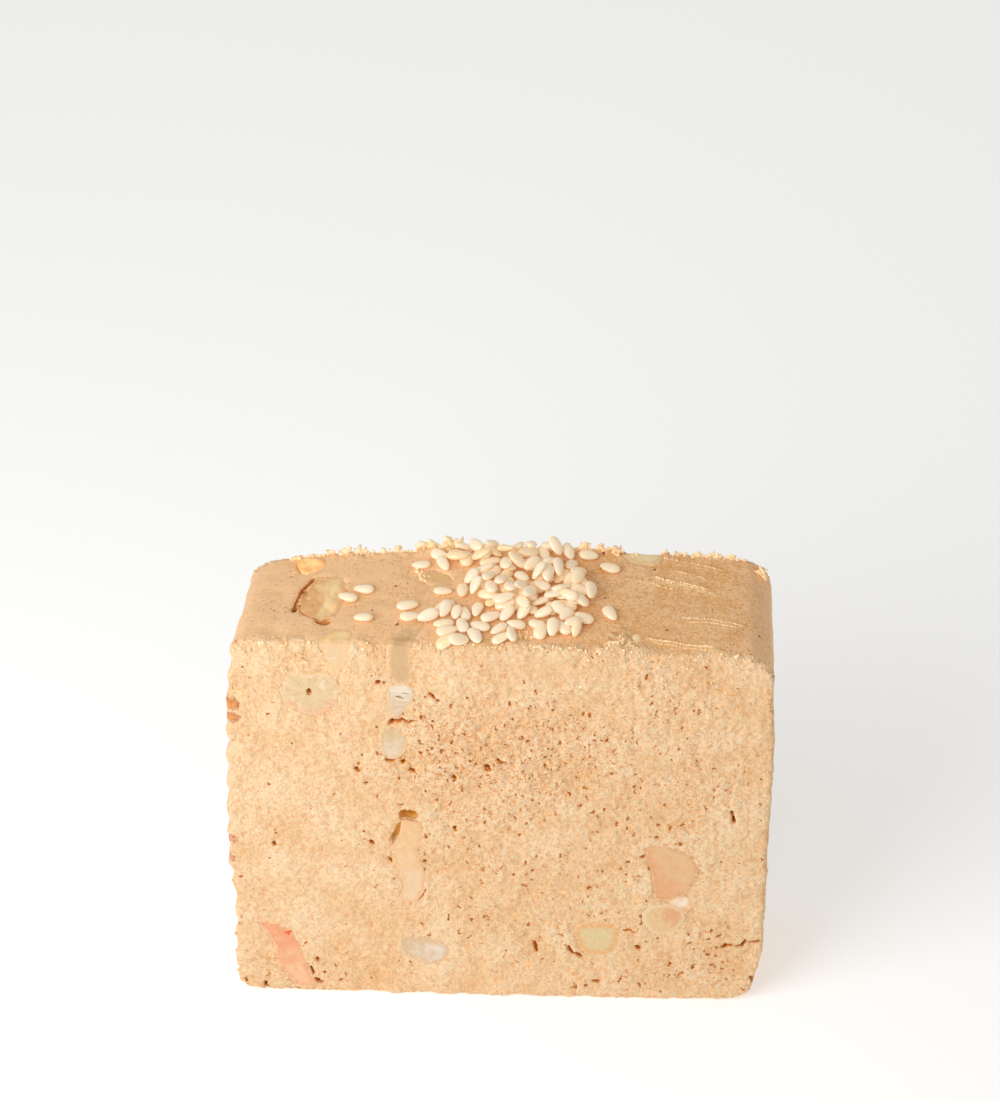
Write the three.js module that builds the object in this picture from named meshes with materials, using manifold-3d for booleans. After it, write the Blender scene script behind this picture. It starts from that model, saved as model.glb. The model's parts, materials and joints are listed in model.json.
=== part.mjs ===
// Sesame halva block: one thick slice sawn from a slab of sesame and peanut halva, with
// the pieces of peanut that lie open in its faces. Millimetres, +Z up. The slice stands
// on its long lower side. The origin is the middle of that base, the sawn faces look
// along -Y (front) and +Y (back), and the smooth moulded skin covers the top and ends.

import * as THREE from 'three';
import { mergeVertices } from 'three/addons/utils/BufferGeometryUtils.js';
import Module from 'manifold-3d';

const wasm = await Module();
wasm.setup();

// ---------------------------------------------------------------- driving dimensions

const BLOCK = { width: 77.1, depth: 20.5, height: 69 };
const GRID = { across: 22, deep: 4, up: 22 }; // grid lines each way

const EDGE_BREAK = 0.6; // crumbled rounding round both sawn faces
const FACE_WAVE = { rise: 0.2, across: 19, up: 23 }; // how far from flat the saw left them

// Crown of the top skin: level along the front, arched along the back.
const CROWN = { front: 68.4, fallStart: 2, fallEnd: 34, fall: 0.8, backPeak: 10, backSpread: 700 };

// Rounded long edges, each as width and height of a quarter oval, at the front and back.
const TOP_LEFT = { front: [2, 1.9], back: [4.4, 3.4] };
const TOP_RIGHT = { front: [5.8, 5.6], back: [4.6, 4] };
const BASE_LEFT = { front: [3, 3], back: [3, 3] };
const BASE_RIGHT = { front: [5.5, 3], back: [4, 3] };

// Where the two ends draw in from the full width: [from height, to height, by how much].
const LEFT_DRAWS_IN = [[27, 16, 0.95], [9, 1, 0.1], [60, 68, 0.8]];
const RIGHT_DRAWS_IN = [[10, 1, 1], [56, 66, 0.5]];
const END_TAPER = { left: 1.9, right: 0.3 }; // narrower at the back, by this much

const POCKET_GAP = 0.3; // clearance between a piece of nut and the halva round it
const RIM_SAMPLES = 14; // points round a large piece of nut
const CHIP_SAMPLES = 8; // points round a small one
const OUTREACH = 2.5; // how far a cutting shape starts outside the face it enters

// How the section of a piece of nut shrinks with depth: [part of depth, part of size].
const KERNEL_TAPER = [[0, 1], [0.4, 0.94], [0.8, 0.72], [1, 0.42]];
const CHIP_TAPER = [[0, 1], [1, 0.55]];
const HOLLOW_TAPER = [[0, 1], [1, 0.8]];

const COLOURS = {
  halva: 0xf3cd9f,
  cream: 0xf0d7a6,
  yellow: 0xf2d494,
  olive: 0xd8c693,
  white: 0xeeddc4,
  pink: 0xeebb8e,
  salmon: 0xf0a880,
  amber: 0xf0b066,
  rust: 0xd98a52,
};

// Pieces of peanut: the face each lies in, its outline there (x and z on a sawn face, x and
// y on the top), how deep it goes, and how far its far end leans from its outline.
const NUT_PIECES = [
  {
    name: 'kernel_top', face: 'top', colour: 'cream', depth: 4.2, lean: [0.3, 0.4],
    outline: [[-26.5, 4.1], [-24.9, 4.6], [-23, 4.2], [-22.5, 1.3], [-22.9, -1.7], [-24.4, -4.6],
      [-26.3, -4.6], [-28.6, -2.8], [-27.8, 1.1]],
  },
  {
    name: 'nut_amber_top', face: 'top', colour: 'amber', depth: 3.2, lean: [0.2, 0],
    outline: [[-29.5, 8.3], [-28.5, 9.1], [-26.9, 8.9], [-25.4, 7.4], [-27.2, 6.3], [-28.5, 5.8]],
  },
  {
    name: 'nut_under_skin', face: 'top', colour: 'olive', depth: 2.6, lean: [0, 0],
    outline: [[-11.6, 5.3], [-9.9, 5.4], [-7.5, 3.9], [-7.8, 2.8], [-9.8, 3], [-11.8, 4.2]],
  },
  {
    name: 'nut_flake_back', face: 'back', colour: 'yellow', depth: 2.4, lean: [0.4, -0.6],
    outline: [[16.9, 70.2], [21.9, 70.2], [21.2, 67.6], [19.3, 66.6], [17.4, 67.4]],
  },
  {
    name: 'nut_edge_middle', face: 'front', colour: 'olive', depth: 5, lean: [3, 0.4],
    outline: [[-15.5, 70.5], [-13.4, 70.5], [-13.6, 66], [-13.1, 63.8], [-13.4, 61.6], [-14.4, 61],
      [-15.6, 61.9], [-15.9, 65]],
  },
  {
    name: 'nut_edge_corner', face: 'front', colour: 'yellow', depth: 2.8, lean: [1.2, 0.6],
    outline: [[-25.6, 70.5], [-21.4, 70.5], [-21.7, 67.8], [-22, 64.8], [-22.6, 63.1], [-24.2, 65.1],
      [-25.6, 67.4]],
  },
  {
    name: 'nut_fleck_edge', face: 'front', colour: 'white', depth: 1.3, lean: [0.3, 0], small: true,
    outline: [[-29.9, 70], [-27.9, 70], [-28.3, 66.6], [-29.3, 66.3]],
  },
  {
    name: 'kernel_split', face: 'front', colour: 'cream', depth: 4, lean: [0.2, 0.8],
    outline: [[-29.4, 62.1], [-27.9, 62.2], [-26.9, 61.7], [-25.3, 62.4], [-23.8, 61.5],
      [-23.2, 59.6], [-23.5, 57.2], [-25, 55.5], [-26.8, 54.9], [-29.5, 56.3], [-30.8, 58.2],
      [-30.6, 60.4]],
    eye: [[-27.1, 59.8], [-26.5, 58.9], [-27, 57.9], [-27.5, 58.9]],
  },
  {
    name: 'nut_fibres', face: 'front', colour: 'white', depth: 3, lean: [0.3, 0],
    outline: [[-15.6, 60.5], [-13, 60.4], [-12.6, 58], [-13.6, 56.6], [-14.4, 55.2], [-15.8, 55.2],
      [-15.6, 57.6]],
  },
  {
    name: 'nut_wedge', face: 'front', colour: 'cream', depth: 3, lean: [0.2, 0],
    outline: [[-16.4, 52.6], [-14.9, 52.2], [-13.3, 49.9], [-14.1, 47.9], [-15.1, 47.1], [-16.2, 47.4]],
  },
  {
    name: 'nut_sliver_long', face: 'front', colour: 'yellow', depth: 3, lean: [0, -0.3],
    outline: [[-13.6, 35], [-11.7, 35], [-11.1, 31.8], [-12, 28.8], [-10.8, 24.6], [-10.8, 21.4],
      [-11.9, 18.9], [-13.9, 18.9], [-13.2, 22], [-14, 25.4], [-15.2, 29.2], [-13.9, 32.2]],
  },
  {
    name: 'nut_pale_oval', face: 'front', colour: 'white', depth: 2.8, lean: [0, 0.3],
    outline: [[-13.8, 11], [-12.2, 11.6], [-9.1, 11.1], [-6.8, 9], [-8.8, 6.5], [-11.1, 7.3],
      [-13.4, 8.6]],
  },
  {
    name: 'nut_green_square', face: 'front', colour: 'olive', depth: 3.4, lean: [0.2, 0.3],
    outline: [[11.8, 14.5], [14.4, 15], [16.8, 14.8], [17.5, 12.8], [17, 10.3], [14.8, 9.2],
      [12.5, 9.9], [11.6, 12.3]],
  },
  {
    name: 'nut_teardrop', face: 'front', colour: 'pink', depth: 4, lean: [0.4, 0.4],
    outline: [[21.3, 30.7], [23.4, 30.8], [26.6, 29.4], [28.3, 27.1], [28.1, 24.7], [26.8, 22],
      [24.6, 20.4], [22.9, 20.2], [22.5, 22], [22.6, 24.3], [21.5, 27.8]],
  },
  {
    name: 'nut_rose_oval', face: 'front', colour: 'pink', depth: 3, lean: [0.2, -0.2],
    outline: [[21.2, 17.6], [22.5, 18.9], [24.6, 19], [26.7, 17.8], [26.4, 15.6], [25, 14],
      [23.1, 13.5], [21.8, 14.8]],
  },
  {
    name: 'nut_chip_rose', face: 'front', colour: 'white', depth: 1.2, lean: [0, 0], small: true,
    outline: [[25, 19.9], [27.3, 20.7], [27.7, 19.5], [26.6, 18.8]],
  },
  {
    name: 'nut_salmon_sliver', face: 'front', colour: 'salmon', depth: 2.6, lean: [0.4, 0.6],
    outline: [[-34.2, 14], [-32.2, 13.4], [-30.1, 12.4], [-28.9, 10], [-28, 6.4], [-27.1, 3.4],
      [-26.6, 1], [-28.1, 1.2], [-29.9, 2.9], [-31.1, 5.4], [-31.6, 7.9], [-32, 10.5]],
  },
  {
    name: 'nut_chip_base', face: 'front', colour: 'olive', depth: 1.5, lean: [0, 0.2], small: true,
    outline: [[-32.6, 2.2], [-30.6, 2.3], [-30.6, 1], [-32.7, 1]],
  },
  {
    name: 'skin_bit_upper', face: 'front', colour: 'rust', depth: 1.4, lean: [0, 0], small: true,
    outline: [[-40, 57.4], [-37.1, 57.1], [-36.9, 55.8], [-40, 55.7]],
  },
  {
    name: 'skin_bit_lower', face: 'front', colour: 'rust', depth: 1.2, lean: [0, 0], small: true,
    outline: [[-40, 54.6], [-36.9, 54.3], [-36.7, 53.6], [-40, 53.5]],
  },
  {
    name: 'red_bit_upper', face: 'front', colour: 'rust', depth: 1.2, lean: [0, 0], small: true,
    outline: [[-40, 31.4], [-37.6, 31.2], [-37.4, 30.2], [-40, 29.9]],
  },
  {
    name: 'red_bit_lower', face: 'front', colour: 'rust', depth: 1, lean: [0, 0], small: true,
    outline: [[-40, 27.3], [-37.8, 27.2], [-37.9, 26.1], [-40, 26]],
  },
  {
    name: 'back_kernel', face: 'back', colour: 'cream', depth: 3.6, lean: [0.3, 0.5],
    outline: [[-20.6, 47.4], [-18.2, 48.3], [-15.4, 47.6], [-13.8, 45.4], [-15, 42.6], [-18, 41.8],
      [-20.8, 43.2], [-21.5, 45.4]],
  },
  {
    name: 'back_wedge', face: 'back', colour: 'yellow', depth: 3, lean: [0, 0.3],
    outline: [[11.2, 57.5], [14.6, 58.2], [16, 55.6], [13.6, 53.4], [11.4, 54.6]],
  },
  {
    name: 'back_oval', face: 'back', colour: 'pink', depth: 3, lean: [-0.2, 0.2],
    outline: [[20.4, 24], [23.6, 25.4], [26, 23.2], [25.2, 19.9], [22.2, 18.6], [20, 20.6]],
  },
  {
    name: 'back_sliver', face: 'back', colour: 'white', depth: 2.4, lean: [0.2, 0],
    outline: [[-8.6, 19.8], [-6.4, 20], [-5.4, 16.6], [-6, 12.8], [-7.8, 12.4], [-8.2, 16]],
  },
];

// Open hollows where a piece of nut has shrunk back or dropped out of the halva.
const HOLLOWS = [
  { face: 'top', depth: 2.6, outline: [[-26.7, -3.6], [-24, -3.4], [-24.3, -5.8], [-26.1, -5.8]] },
  { face: 'top', depth: 2.2, outline: [[-27, 4.2], [-26.2, 3.6], [-28.2, -2.4], [-29.1, -2.9]] },
  { face: 'top', depth: 1.2, outline: [[-30.4, 8.3], [-29.3, 7.8], [-29, 6], [-29.8, 6]] },
  { face: 'front', depth: 3, outline: [[-14.1, 36.8], [-11.7, 36.8], [-11.6, 34.6], [-14, 34.6]] },
  { face: 'front', depth: 1.6, outline: [[-13.9, 34.8], [-13.2, 33.6], [-14.7, 30.1], [-15.5, 30.3]] },
];

// ---------------------------------------------------------------- small helpers

/** Blends from a to b. */
const mix = (a, b, t) => a + (b - a) * t;

/** Rises smoothly from 0 at `from` to 1 at `to`, which may lie below `from`. */
function ease(from, to, value) {
  const t = THREE.MathUtils.clamp((value - from) / (to - from), 0, 1);
  return t * t * (3 - 2 * t);
}

/** Spreads evenly spaced grid lines (-1..1) so that they lie closer near both ends. */
const crowdEnds = (u) => Math.sin((u * Math.PI) / 2);

/** Drop of a rounded edge at a distance from the side, as a quarter oval. */
function edgeDrop(edge, back, distance) {
  const width = mix(edge.front[0], edge.back[0], back);
  const height = mix(edge.front[1], edge.back[1], back);
  const reach = THREE.MathUtils.clamp(1 - distance / width, 0, 1);
  return height * (1 - Math.sqrt(1 - reach * reach));
}

// ---------------------------------------------------------------- the block's own shape

/** How far an end lies inside the full width at a height, at the front or the back. */
function endInset(steps, taper, z, back) {
  const drawn = steps.reduce((sum, [from, to, by]) => sum + by * ease(from, to, z), 0);
  return drawn + taper * back;
}

/** Height of the top skin before its long edges are rounded. */
function crownHeight(x, back) {
  const front = CROWN.front - CROWN.fall * ease(CROWN.fallStart, CROWN.fallEnd, x);
  const rear = BLOCK.height - (x - CROWN.backPeak) ** 2 / CROWN.backSpread;
  return mix(front, rear, back);
}

/** Moves one point of the unit grid (-1..1 each way) to its place in the block. */
function shapeBlockPoint(u, v, w) {
  const across = crowdEnds(u);
  const up = crowdEnds(w);
  const back = (crowdEnds(v) + 1) / 2;
  const roughZ = ((up + 1) / 2) * BLOCK.height;

  const left = -BLOCK.width / 2 + endInset(LEFT_DRAWS_IN, END_TAPER.left, roughZ, back);
  const right = BLOCK.width / 2 - endInset(RIGHT_DRAWS_IN, END_TAPER.right, roughZ, back);
  const x = mix(left, right, (across + 1) / 2);

  const fromLeft = x - left;
  const fromRight = right - x;
  const top = crownHeight(x, back) - edgeDrop(TOP_LEFT, back, fromLeft)
    - edgeDrop(TOP_RIGHT, back, fromRight);
  const base = edgeDrop(BASE_LEFT, back, fromLeft) + edgeDrop(BASE_RIGHT, back, fromRight);
  const z = mix(base, top, (up + 1) / 2);

  const fromRim = Math.min(fromLeft, fromRight, z - base, top - z);
  const lip = THREE.MathUtils.clamp(1 - fromRim / EDGE_BREAK, 0, 1);
  const breakBack = EDGE_BREAK * (1 - Math.sqrt(1 - lip * lip));
  const wave = FACE_WAVE.rise * Math.sin(x / FACE_WAVE.across) ** 2 * Math.cos(z / FACE_WAVE.up) ** 2;
  const halfDepth = BLOCK.depth / 2 - breakBack - wave;
  return [x, mix(-halfDepth, halfDepth, back), z];
}

/** The whole block before its pockets are cut, as a warped grid box. */
function blockGeometry() {
  const geometry = new THREE.BoxGeometry(2, 2, 2, GRID.across, GRID.deep, GRID.up);
  const position = geometry.attributes.position;
  for (let i = 0; i < position.count; i += 1) {
    const shaped = shapeBlockPoint(position.getX(i), position.getY(i), position.getZ(i));
    position.setXYZ(i, ...shaped);
  }
  return geometry;
}

// ---------------------------------------------------------------- nuts and hollows

// Where a point of an outline lies, at a depth below each face.
const FACE_PLACES = {
  front: (u, v, depth) => [u, depth - BLOCK.depth / 2, v],
  back: (u, v, depth) => [u, BLOCK.depth / 2 - depth, v],
  top: (u, v, depth) => [u, v, CROWN.front - depth],
};

/** Samples the smooth closed curve through an outline's points, anticlockwise. */
function smoothRim(outline, samples) {
  const knots = outline.map(([u, v]) => new THREE.Vector3(u, v, 0));
  const curve = new THREE.CatmullRomCurve3(knots, true, 'centripetal');
  const rim = curve.getSpacedPoints(samples).slice(0, samples);
  const flat = rim.map((p) => new THREE.Vector2(p.x, p.y));
  return THREE.ShapeUtils.area(flat) < 0 ? flat.reverse() : flat;
}

/** Moves each point of an anticlockwise rim outwards, square to the rim. */
function growRim(rim, distance) {
  return rim.map((point, i) => {
    const before = rim.at(i - 1);
    const after = rim[(i + 1) % rim.length];
    const along = after.clone().sub(before).normalize();
    return new THREE.Vector2(point.x + along.y * distance, point.y - along.x * distance);
  });
}

/** Lofts a rim from outside its face to its full depth, shrinking as the taper says. */
function sunkenShape({ face, outline, depth, lean = [0, 0], samples, taper, grow = 0 }) {
  const rim = growRim(smoothRim(outline, samples), grow);
  const middle = rim.reduce((sum, p) => sum.add(p), new THREE.Vector2()).divideScalar(rim.length);
  const levels = [[-OUTREACH / depth, 1], ...taper];
  const corners = levels.flatMap(([part, size]) => rim.map((p) => FACE_PLACES[face](
    middle.x + (p.x - middle.x) * size + lean[0] * Math.max(part, 0),
    middle.y + (p.y - middle.y) * size + lean[1] * Math.max(part, 0),
    part * (depth + grow),
  )));

  const count = rim.length;
  const cap = THREE.ShapeUtils.triangulateShape(rim, []);
  const lastLevel = (levels.length - 1) * count;
  const faces = cap.flatMap(([a, b, c]) => [[a, b, c], [c + lastLevel, b + lastLevel, a + lastLevel]]);
  for (let level = 0; level < levels.length - 1; level += 1) {
    for (let i = 0; i < count; i += 1) {
      const a = level * count + i;
      const b = level * count + ((i + 1) % count);
      faces.push([b, a, a + count], [b, a + count, b + count]);
    }
  }

  const geometry = new THREE.BufferGeometry();
  geometry.setAttribute('position', new THREE.Float32BufferAttribute(corners.flat(), 3));
  geometry.setIndex(faces.flat());
  return toSolid(geometry);
}

/** The shape of a piece of nut, or of the pocket round it when it is grown. */
function nutShape(piece, grow) {
  const samples = piece.small ? CHIP_SAMPLES : RIM_SAMPLES;
  const taper = piece.small ? CHIP_TAPER : KERNEL_TAPER;
  return sunkenShape({ ...piece, samples, taper, grow });
}

// ---------------------------------------------------------------- solids and meshes

/** Six times the volume inside a list of triangles: negative when they face inwards. */
function signedVolume(corners, index) {
  const [a, b, c] = [new THREE.Vector3(), new THREE.Vector3(), new THREE.Vector3()];
  let sum = 0;
  for (let i = 0; i < index.length; i += 3) {
    a.fromArray(corners, index[i] * 3);
    b.fromArray(corners, index[i + 1] * 3);
    c.fromArray(corners, index[i + 2] * 3);
    sum += a.dot(b.cross(c));
  }
  return sum;
}

/** Turns a closed geometry into a solid whose faces point outwards. */
function toSolid(geometry) {
  geometry.deleteAttribute('normal');
  geometry.deleteAttribute('uv');
  const merged = mergeVertices(geometry, 1e-5);
  const vertProperties = new Float32Array(merged.attributes.position.array);
  const triVerts = new Uint32Array(merged.index.array);
  if (signedVolume(vertProperties, triVerts) < 0) {
    triVerts.reverse();
  }
  return new wasm.Manifold(new wasm.Mesh({ numProp: 3, vertProperties, triVerts }));
}

/** Turns a solid back into a named mesh with its own material. */
function toMesh(name, solid, colour) {
  const { vertProperties, triVerts } = solid.getMesh();
  const geometry = new THREE.BufferGeometry();
  geometry.setAttribute('position', new THREE.Float32BufferAttribute(vertProperties, 3));
  geometry.setIndex(Array.from(triVerts));
  geometry.computeVertexNormals();
  const material = new THREE.MeshStandardMaterial({ color: colour, roughness: 0.8, metalness: 0 });
  const mesh = new THREE.Mesh(geometry, material);
  mesh.name = name;
  return mesh;
}

/** Cuts the pockets and hollows, fits the pieces of nut, and gathers every mesh. */
function buildHalvaBlock() {
  const group = new THREE.Group();
  const whole = toSolid(blockGeometry());
  let halva = whole;
  let taken = null;

  for (const piece of NUT_PIECES) {
    let nut = nutShape(piece, 0).intersect(whole);
    if (taken) {
      nut = nut.subtract(taken);
    }
    if (piece.eye) {
      const eye = { ...piece, outline: piece.eye, samples: CHIP_SAMPLES, taper: HOLLOW_TAPER };
      nut = nut.subtract(sunkenShape({ ...eye, depth: piece.depth / 2 }));
    }
    const pocket = nutShape(piece, POCKET_GAP);
    halva = halva.subtract(pocket);
    taken = taken ? taken.add(pocket) : pocket;
    group.add(toMesh(piece.name, nut, COLOURS[piece.colour]));
  }

  for (const hollow of HOLLOWS) {
    halva = halva.subtract(sunkenShape({ ...hollow, samples: CHIP_SAMPLES, taper: HOLLOW_TAPER }));
  }
  group.add(toMesh('halva_block', halva, COLOURS.halva));
  return group;
}

export default buildHalvaBlock();
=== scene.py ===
"""Looks of a sesame halva block: the halva itself, its peanut pieces, the seeds and crumbs.

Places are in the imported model's own frame: +X runs along the slice, +Y from the front sawn
face to the back one and +Z up, from the middle of the base. Sizes are written in
millimetres, and MM turns them to metres where a mesh or a camera needs them.
"""

import json
import logging
import random
from collections.abc import Callable
from dataclasses import dataclass, field
from enum import Enum
from functools import partial
from math import cos, dist, hypot, inf, pi, radians, sin, sqrt, tau

import bmesh
import bpy
import numpy as np
from bpy.types import ID, Collection, Material, Mesh, Node, NodeSocket, NodeTree, Object
from mathutils import Matrix, Vector, noise
from mathutils.bvhtree import BVHTree

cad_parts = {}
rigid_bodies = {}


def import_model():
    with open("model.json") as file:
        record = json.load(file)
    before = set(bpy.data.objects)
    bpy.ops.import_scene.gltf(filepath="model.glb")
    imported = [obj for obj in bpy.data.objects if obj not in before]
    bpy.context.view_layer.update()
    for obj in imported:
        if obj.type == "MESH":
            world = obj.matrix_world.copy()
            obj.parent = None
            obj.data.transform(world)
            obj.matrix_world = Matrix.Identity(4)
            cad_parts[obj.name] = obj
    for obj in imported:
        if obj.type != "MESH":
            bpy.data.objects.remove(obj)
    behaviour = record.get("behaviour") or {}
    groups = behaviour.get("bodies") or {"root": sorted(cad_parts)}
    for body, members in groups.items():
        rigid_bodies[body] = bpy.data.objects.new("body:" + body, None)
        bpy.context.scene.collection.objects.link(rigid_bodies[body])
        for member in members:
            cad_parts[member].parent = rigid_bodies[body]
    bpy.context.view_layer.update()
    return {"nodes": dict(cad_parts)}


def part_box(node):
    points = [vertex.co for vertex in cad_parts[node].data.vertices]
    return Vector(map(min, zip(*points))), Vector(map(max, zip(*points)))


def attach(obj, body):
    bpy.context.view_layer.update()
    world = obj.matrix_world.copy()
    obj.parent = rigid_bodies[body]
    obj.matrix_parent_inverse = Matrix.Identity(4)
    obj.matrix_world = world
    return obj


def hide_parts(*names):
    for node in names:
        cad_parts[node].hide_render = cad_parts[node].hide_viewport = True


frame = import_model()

log = logging.getLogger("halva")

MM = 0.001
BODY = "root"

# Sums for numbers and for each part of a vector, as a node's type name and its operation.
TIMES, PLUS, MINUS, OVER, TIMES_PLUS, LARGER, UNSIGNED, ABOVE, BELOW, SINE, ANGLE, REMAINDER = (
    "ShaderNodeMath " + operation
    for operation in (
        "MULTIPLY", "ADD", "SUBTRACT", "DIVIDE", "MULTIPLY_ADD", "MAXIMUM",
        "ABSOLUTE", "GREATER_THAN", "LESS_THAN", "SINE", "ARCTAN2", "MODULO",
    )
)
EACH_TIMES, EACH_PLUS, EACH_MINUS, EACH_OVER, SCALED, DOT, DISTANCE, LENGTH = (
    "ShaderNodeVectorMath " + operation
    for operation in ("MULTIPLY", "ADD", "SUBTRACT", "DIVIDE", "SCALE", "DOT_PRODUCT", "DISTANCE", "LENGTH")
)
MAP_RANGE = "ShaderNodeMapRange"
MIX = "ShaderNodeMix"
NOISE = "ShaderNodeTexNoise"
CELLS = "ShaderNodeTexVoronoi"
ATTRIBUTE = "ShaderNodeAttribute"
SMOOTH = {"interpolation_type": "SMOOTHSTEP"}

Colour = tuple[float, float, float, float]
Point = tuple[float, float]
Triple = tuple[float, float, float]


# ---- small helpers


def linear(srgb: str) -> Colour:
    """Turns an sRGB colour to the linear one that shaders take.

    Args:
        srgb: The colour as six hex digits.

    Returns:
        Linear red, green and blue, and full opacity.
    """
    channels = [int(srgb[i : i + 2], 16) / 255 for i in (0, 2, 4)]
    steps = [c / 12.92 if c <= 0.04045 else ((c + 0.055) / 1.055) ** 2.4 for c in channels]
    return (*steps, 1.0)


def each(kind: Callable, *rows: tuple) -> tuple:
    """Makes one record of a kind from each row of its values."""
    return tuple(kind(*row) for row in rows)


def add_node(tree: NodeTree, kind: str, links: dict | list | tuple = (), **settings) -> Node:
    """Adds a node with its settings, and links or sets its inputs.

    Args:
        tree: The node tree that takes the node.
        kind: The node's type name, followed by its operation if it has one.
        links: What goes into each input: a node, a socket or a value. A list gives them in
            the node's own order, which for a map range is the value, the least and most that
            it comes from and the least and most that it goes to. A dict gives them by name.
        settings: The node's own properties.

    Returns:
        The new node.
    """
    kind, *operation = kind.split()
    node = tree.nodes.new(kind)
    if operation:
        node.operation = operation[0]
    for name, value in settings.items():
        setattr(node, name, value)
    for key, value in links.items() if isinstance(links, dict) else enumerate(links):
        named = [s for s in node.inputs if s.enabled and s.name == key]
        socket = named[0] if named else node.inputs[key]
        if isinstance(value, Node):
            value = next(s for s in value.outputs if s.enabled)
        if isinstance(value, NodeSocket):
            tree.links.new(value, socket)
        else:
            socket.default_value = value
    return node


def new_object(name: str, data: ID) -> Object:
    """Puts a mesh, a light or a camera into the scene.

    Args:
        name: The new object's name.
        data: Its mesh, light or camera.

    Returns:
        The object, which sits at the origin.
    """
    obj = bpy.data.objects.new(name, data)
    bpy.context.scene.collection.objects.link(obj)
    return obj


def closed_mesh(shape: bmesh.types.BMesh, name: str) -> Mesh:
    """Turns a shape that is finished to a mesh.

    Args:
        shape: The shape, which is freed.
        name: The mesh's name.

    Returns:
        The mesh.
    """
    mesh = bpy.data.meshes.new(name)
    shape.to_mesh(mesh)
    shape.free()
    return mesh


def lump_mesh(chance: random.Random, name: str, level: int, low: float, high: float) -> Mesh:
    """Makes a lump with uneven corners, about 1 mm across.

    Args:
        chance: The row of random numbers to draw from.
        name: The mesh's name.
        level: How often its faces are divided.
        low: The least that a corner is moved to, as a share of the radius.
        high: The most.

    Returns:
        The lump's mesh.
    """
    shape = bmesh.new()
    bmesh.ops.create_icosphere(shape, subdivisions=level, radius=0.5 * MM)
    for vert in shape.verts:
        vert.co *= chance.uniform(low, high)
    return closed_mesh(shape, name)


def welded(node: str) -> bmesh.types.BMesh:
    """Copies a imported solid's shape and merges its loose corners, so that its faces are joined.

    Args:
        node: The solid's node.

    Returns:
        The shape, which is still to be freed.
    """
    shape = bmesh.new()
    shape.from_mesh(frame["nodes"][node].data)
    bmesh.ops.remove_doubles(shape, verts=shape.verts, dist=0.001 * MM)
    return shape


def welded_copy(node: str, name: str) -> Object:
    """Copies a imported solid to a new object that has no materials."""
    return new_object(name, closed_mesh(welded(node), name))


def settle_modifiers(obj: Object) -> None:
    """Turns what an object's modifiers make into its own plain mesh, and removes them.

    Args:
        obj: The object, which gets the mesh.
    """
    graph = bpy.context.evaluated_depsgraph_get()
    made = bpy.data.meshes.new_from_object(
        obj.evaluated_get(graph), preserve_all_data_layers=True, depsgraph=graph
    )
    before = obj.data
    obj.modifiers.clear()
    obj.data = made
    bpy.data.meshes.remove(before)
    made.name = obj.name


def even_out(obj: Object, voxel: float) -> None:
    """Makes a closed mesh anew as an even grid.

    Args:
        obj: The object, which keeps its shape.
        voxel: The grid's step, in mm.
    """
    remesh = obj.modifiers.new("even grid", "REMESH")
    remesh.mode = "VOXEL"
    remesh.voxel_size = voxel * MM
    settle_modifiers(obj)


def thin_out(obj: Object, triangles: int) -> None:
    """Collapses the flattest triangles of a mesh where it has too many.

    Args:
        obj: The object, which keeps its shape.
        triangles: How many it may have.
    """
    obj.data.calc_loop_triangles()
    count = len(obj.data.loop_triangles)
    if count > triangles:
        thin = obj.modifiers.new("thin", "DECIMATE")
        thin.ratio = triangles / count
        settle_modifiers(obj)


def hand_over(obj: Object, material: Material, slot: str, *stands_for: str) -> None:
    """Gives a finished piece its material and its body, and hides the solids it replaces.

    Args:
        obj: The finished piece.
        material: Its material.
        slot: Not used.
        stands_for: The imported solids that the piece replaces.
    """
    obj.data.materials.clear()
    obj.data.materials.append(material)
    obj.data.shade_smooth()
    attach(obj, BODY)
    if stands_for:
        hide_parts(*stands_for)
    obj.data.calc_loop_triangles()
    log.info("%s: %d triangles", obj.name, len(obj.data.loop_triangles))


class Face(Enum):
    """A side of the block, as the direction that it looks in."""

    FRONT = (0.0, -1.0, 0.0)
    BACK = (0.0, 1.0, 0.0)
    TOP = (0.0, 0.0, 1.0)
    LEFT = (-1.0, 0.0, 0.0)

    def place(self, u: float, v: float, out: float) -> Vector:
        """Gives a point on the front, the back or the top.

        Args:
            u: Its place along X, in mm.
            v: Its place along Y on the top and along Z on the front and the back, in mm.
            out: Its distance from the origin along this side's direction, in mm.

        Returns:
            The point in mm.
        """
        if self is Face.TOP:
            return Vector((u, v, out))
        return Vector((u, out * self.value[1], v))


class SurfaceProbe:
    """Finds the outside of a mesh by looking straight at one of the block's sides."""

    FAR = 150.0  # mm from the origin, well outside the block

    def __init__(self, obj: Object) -> None:
        """Reads an object's evaluated mesh."""
        self.tree = BVHTree.FromObject(obj, bpy.context.evaluated_depsgraph_get())

    def touch(self, face: Face, u: float, v: float) -> Vector | None:
        """Finds the first point of the mesh seen from outside.

        Args:
            face: The side to look at.
            u: First coordinate on that side, in mm.
            v: Second coordinate on that side, in mm.

        Returns:
            The point in mm, or None where the line misses the mesh.
        """
        start = face.place(u, v, self.FAR) * MM
        hit = self.tree.ray_cast(start, -Vector(face.value))[0]
        return None if hit is None else hit / MM


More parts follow.
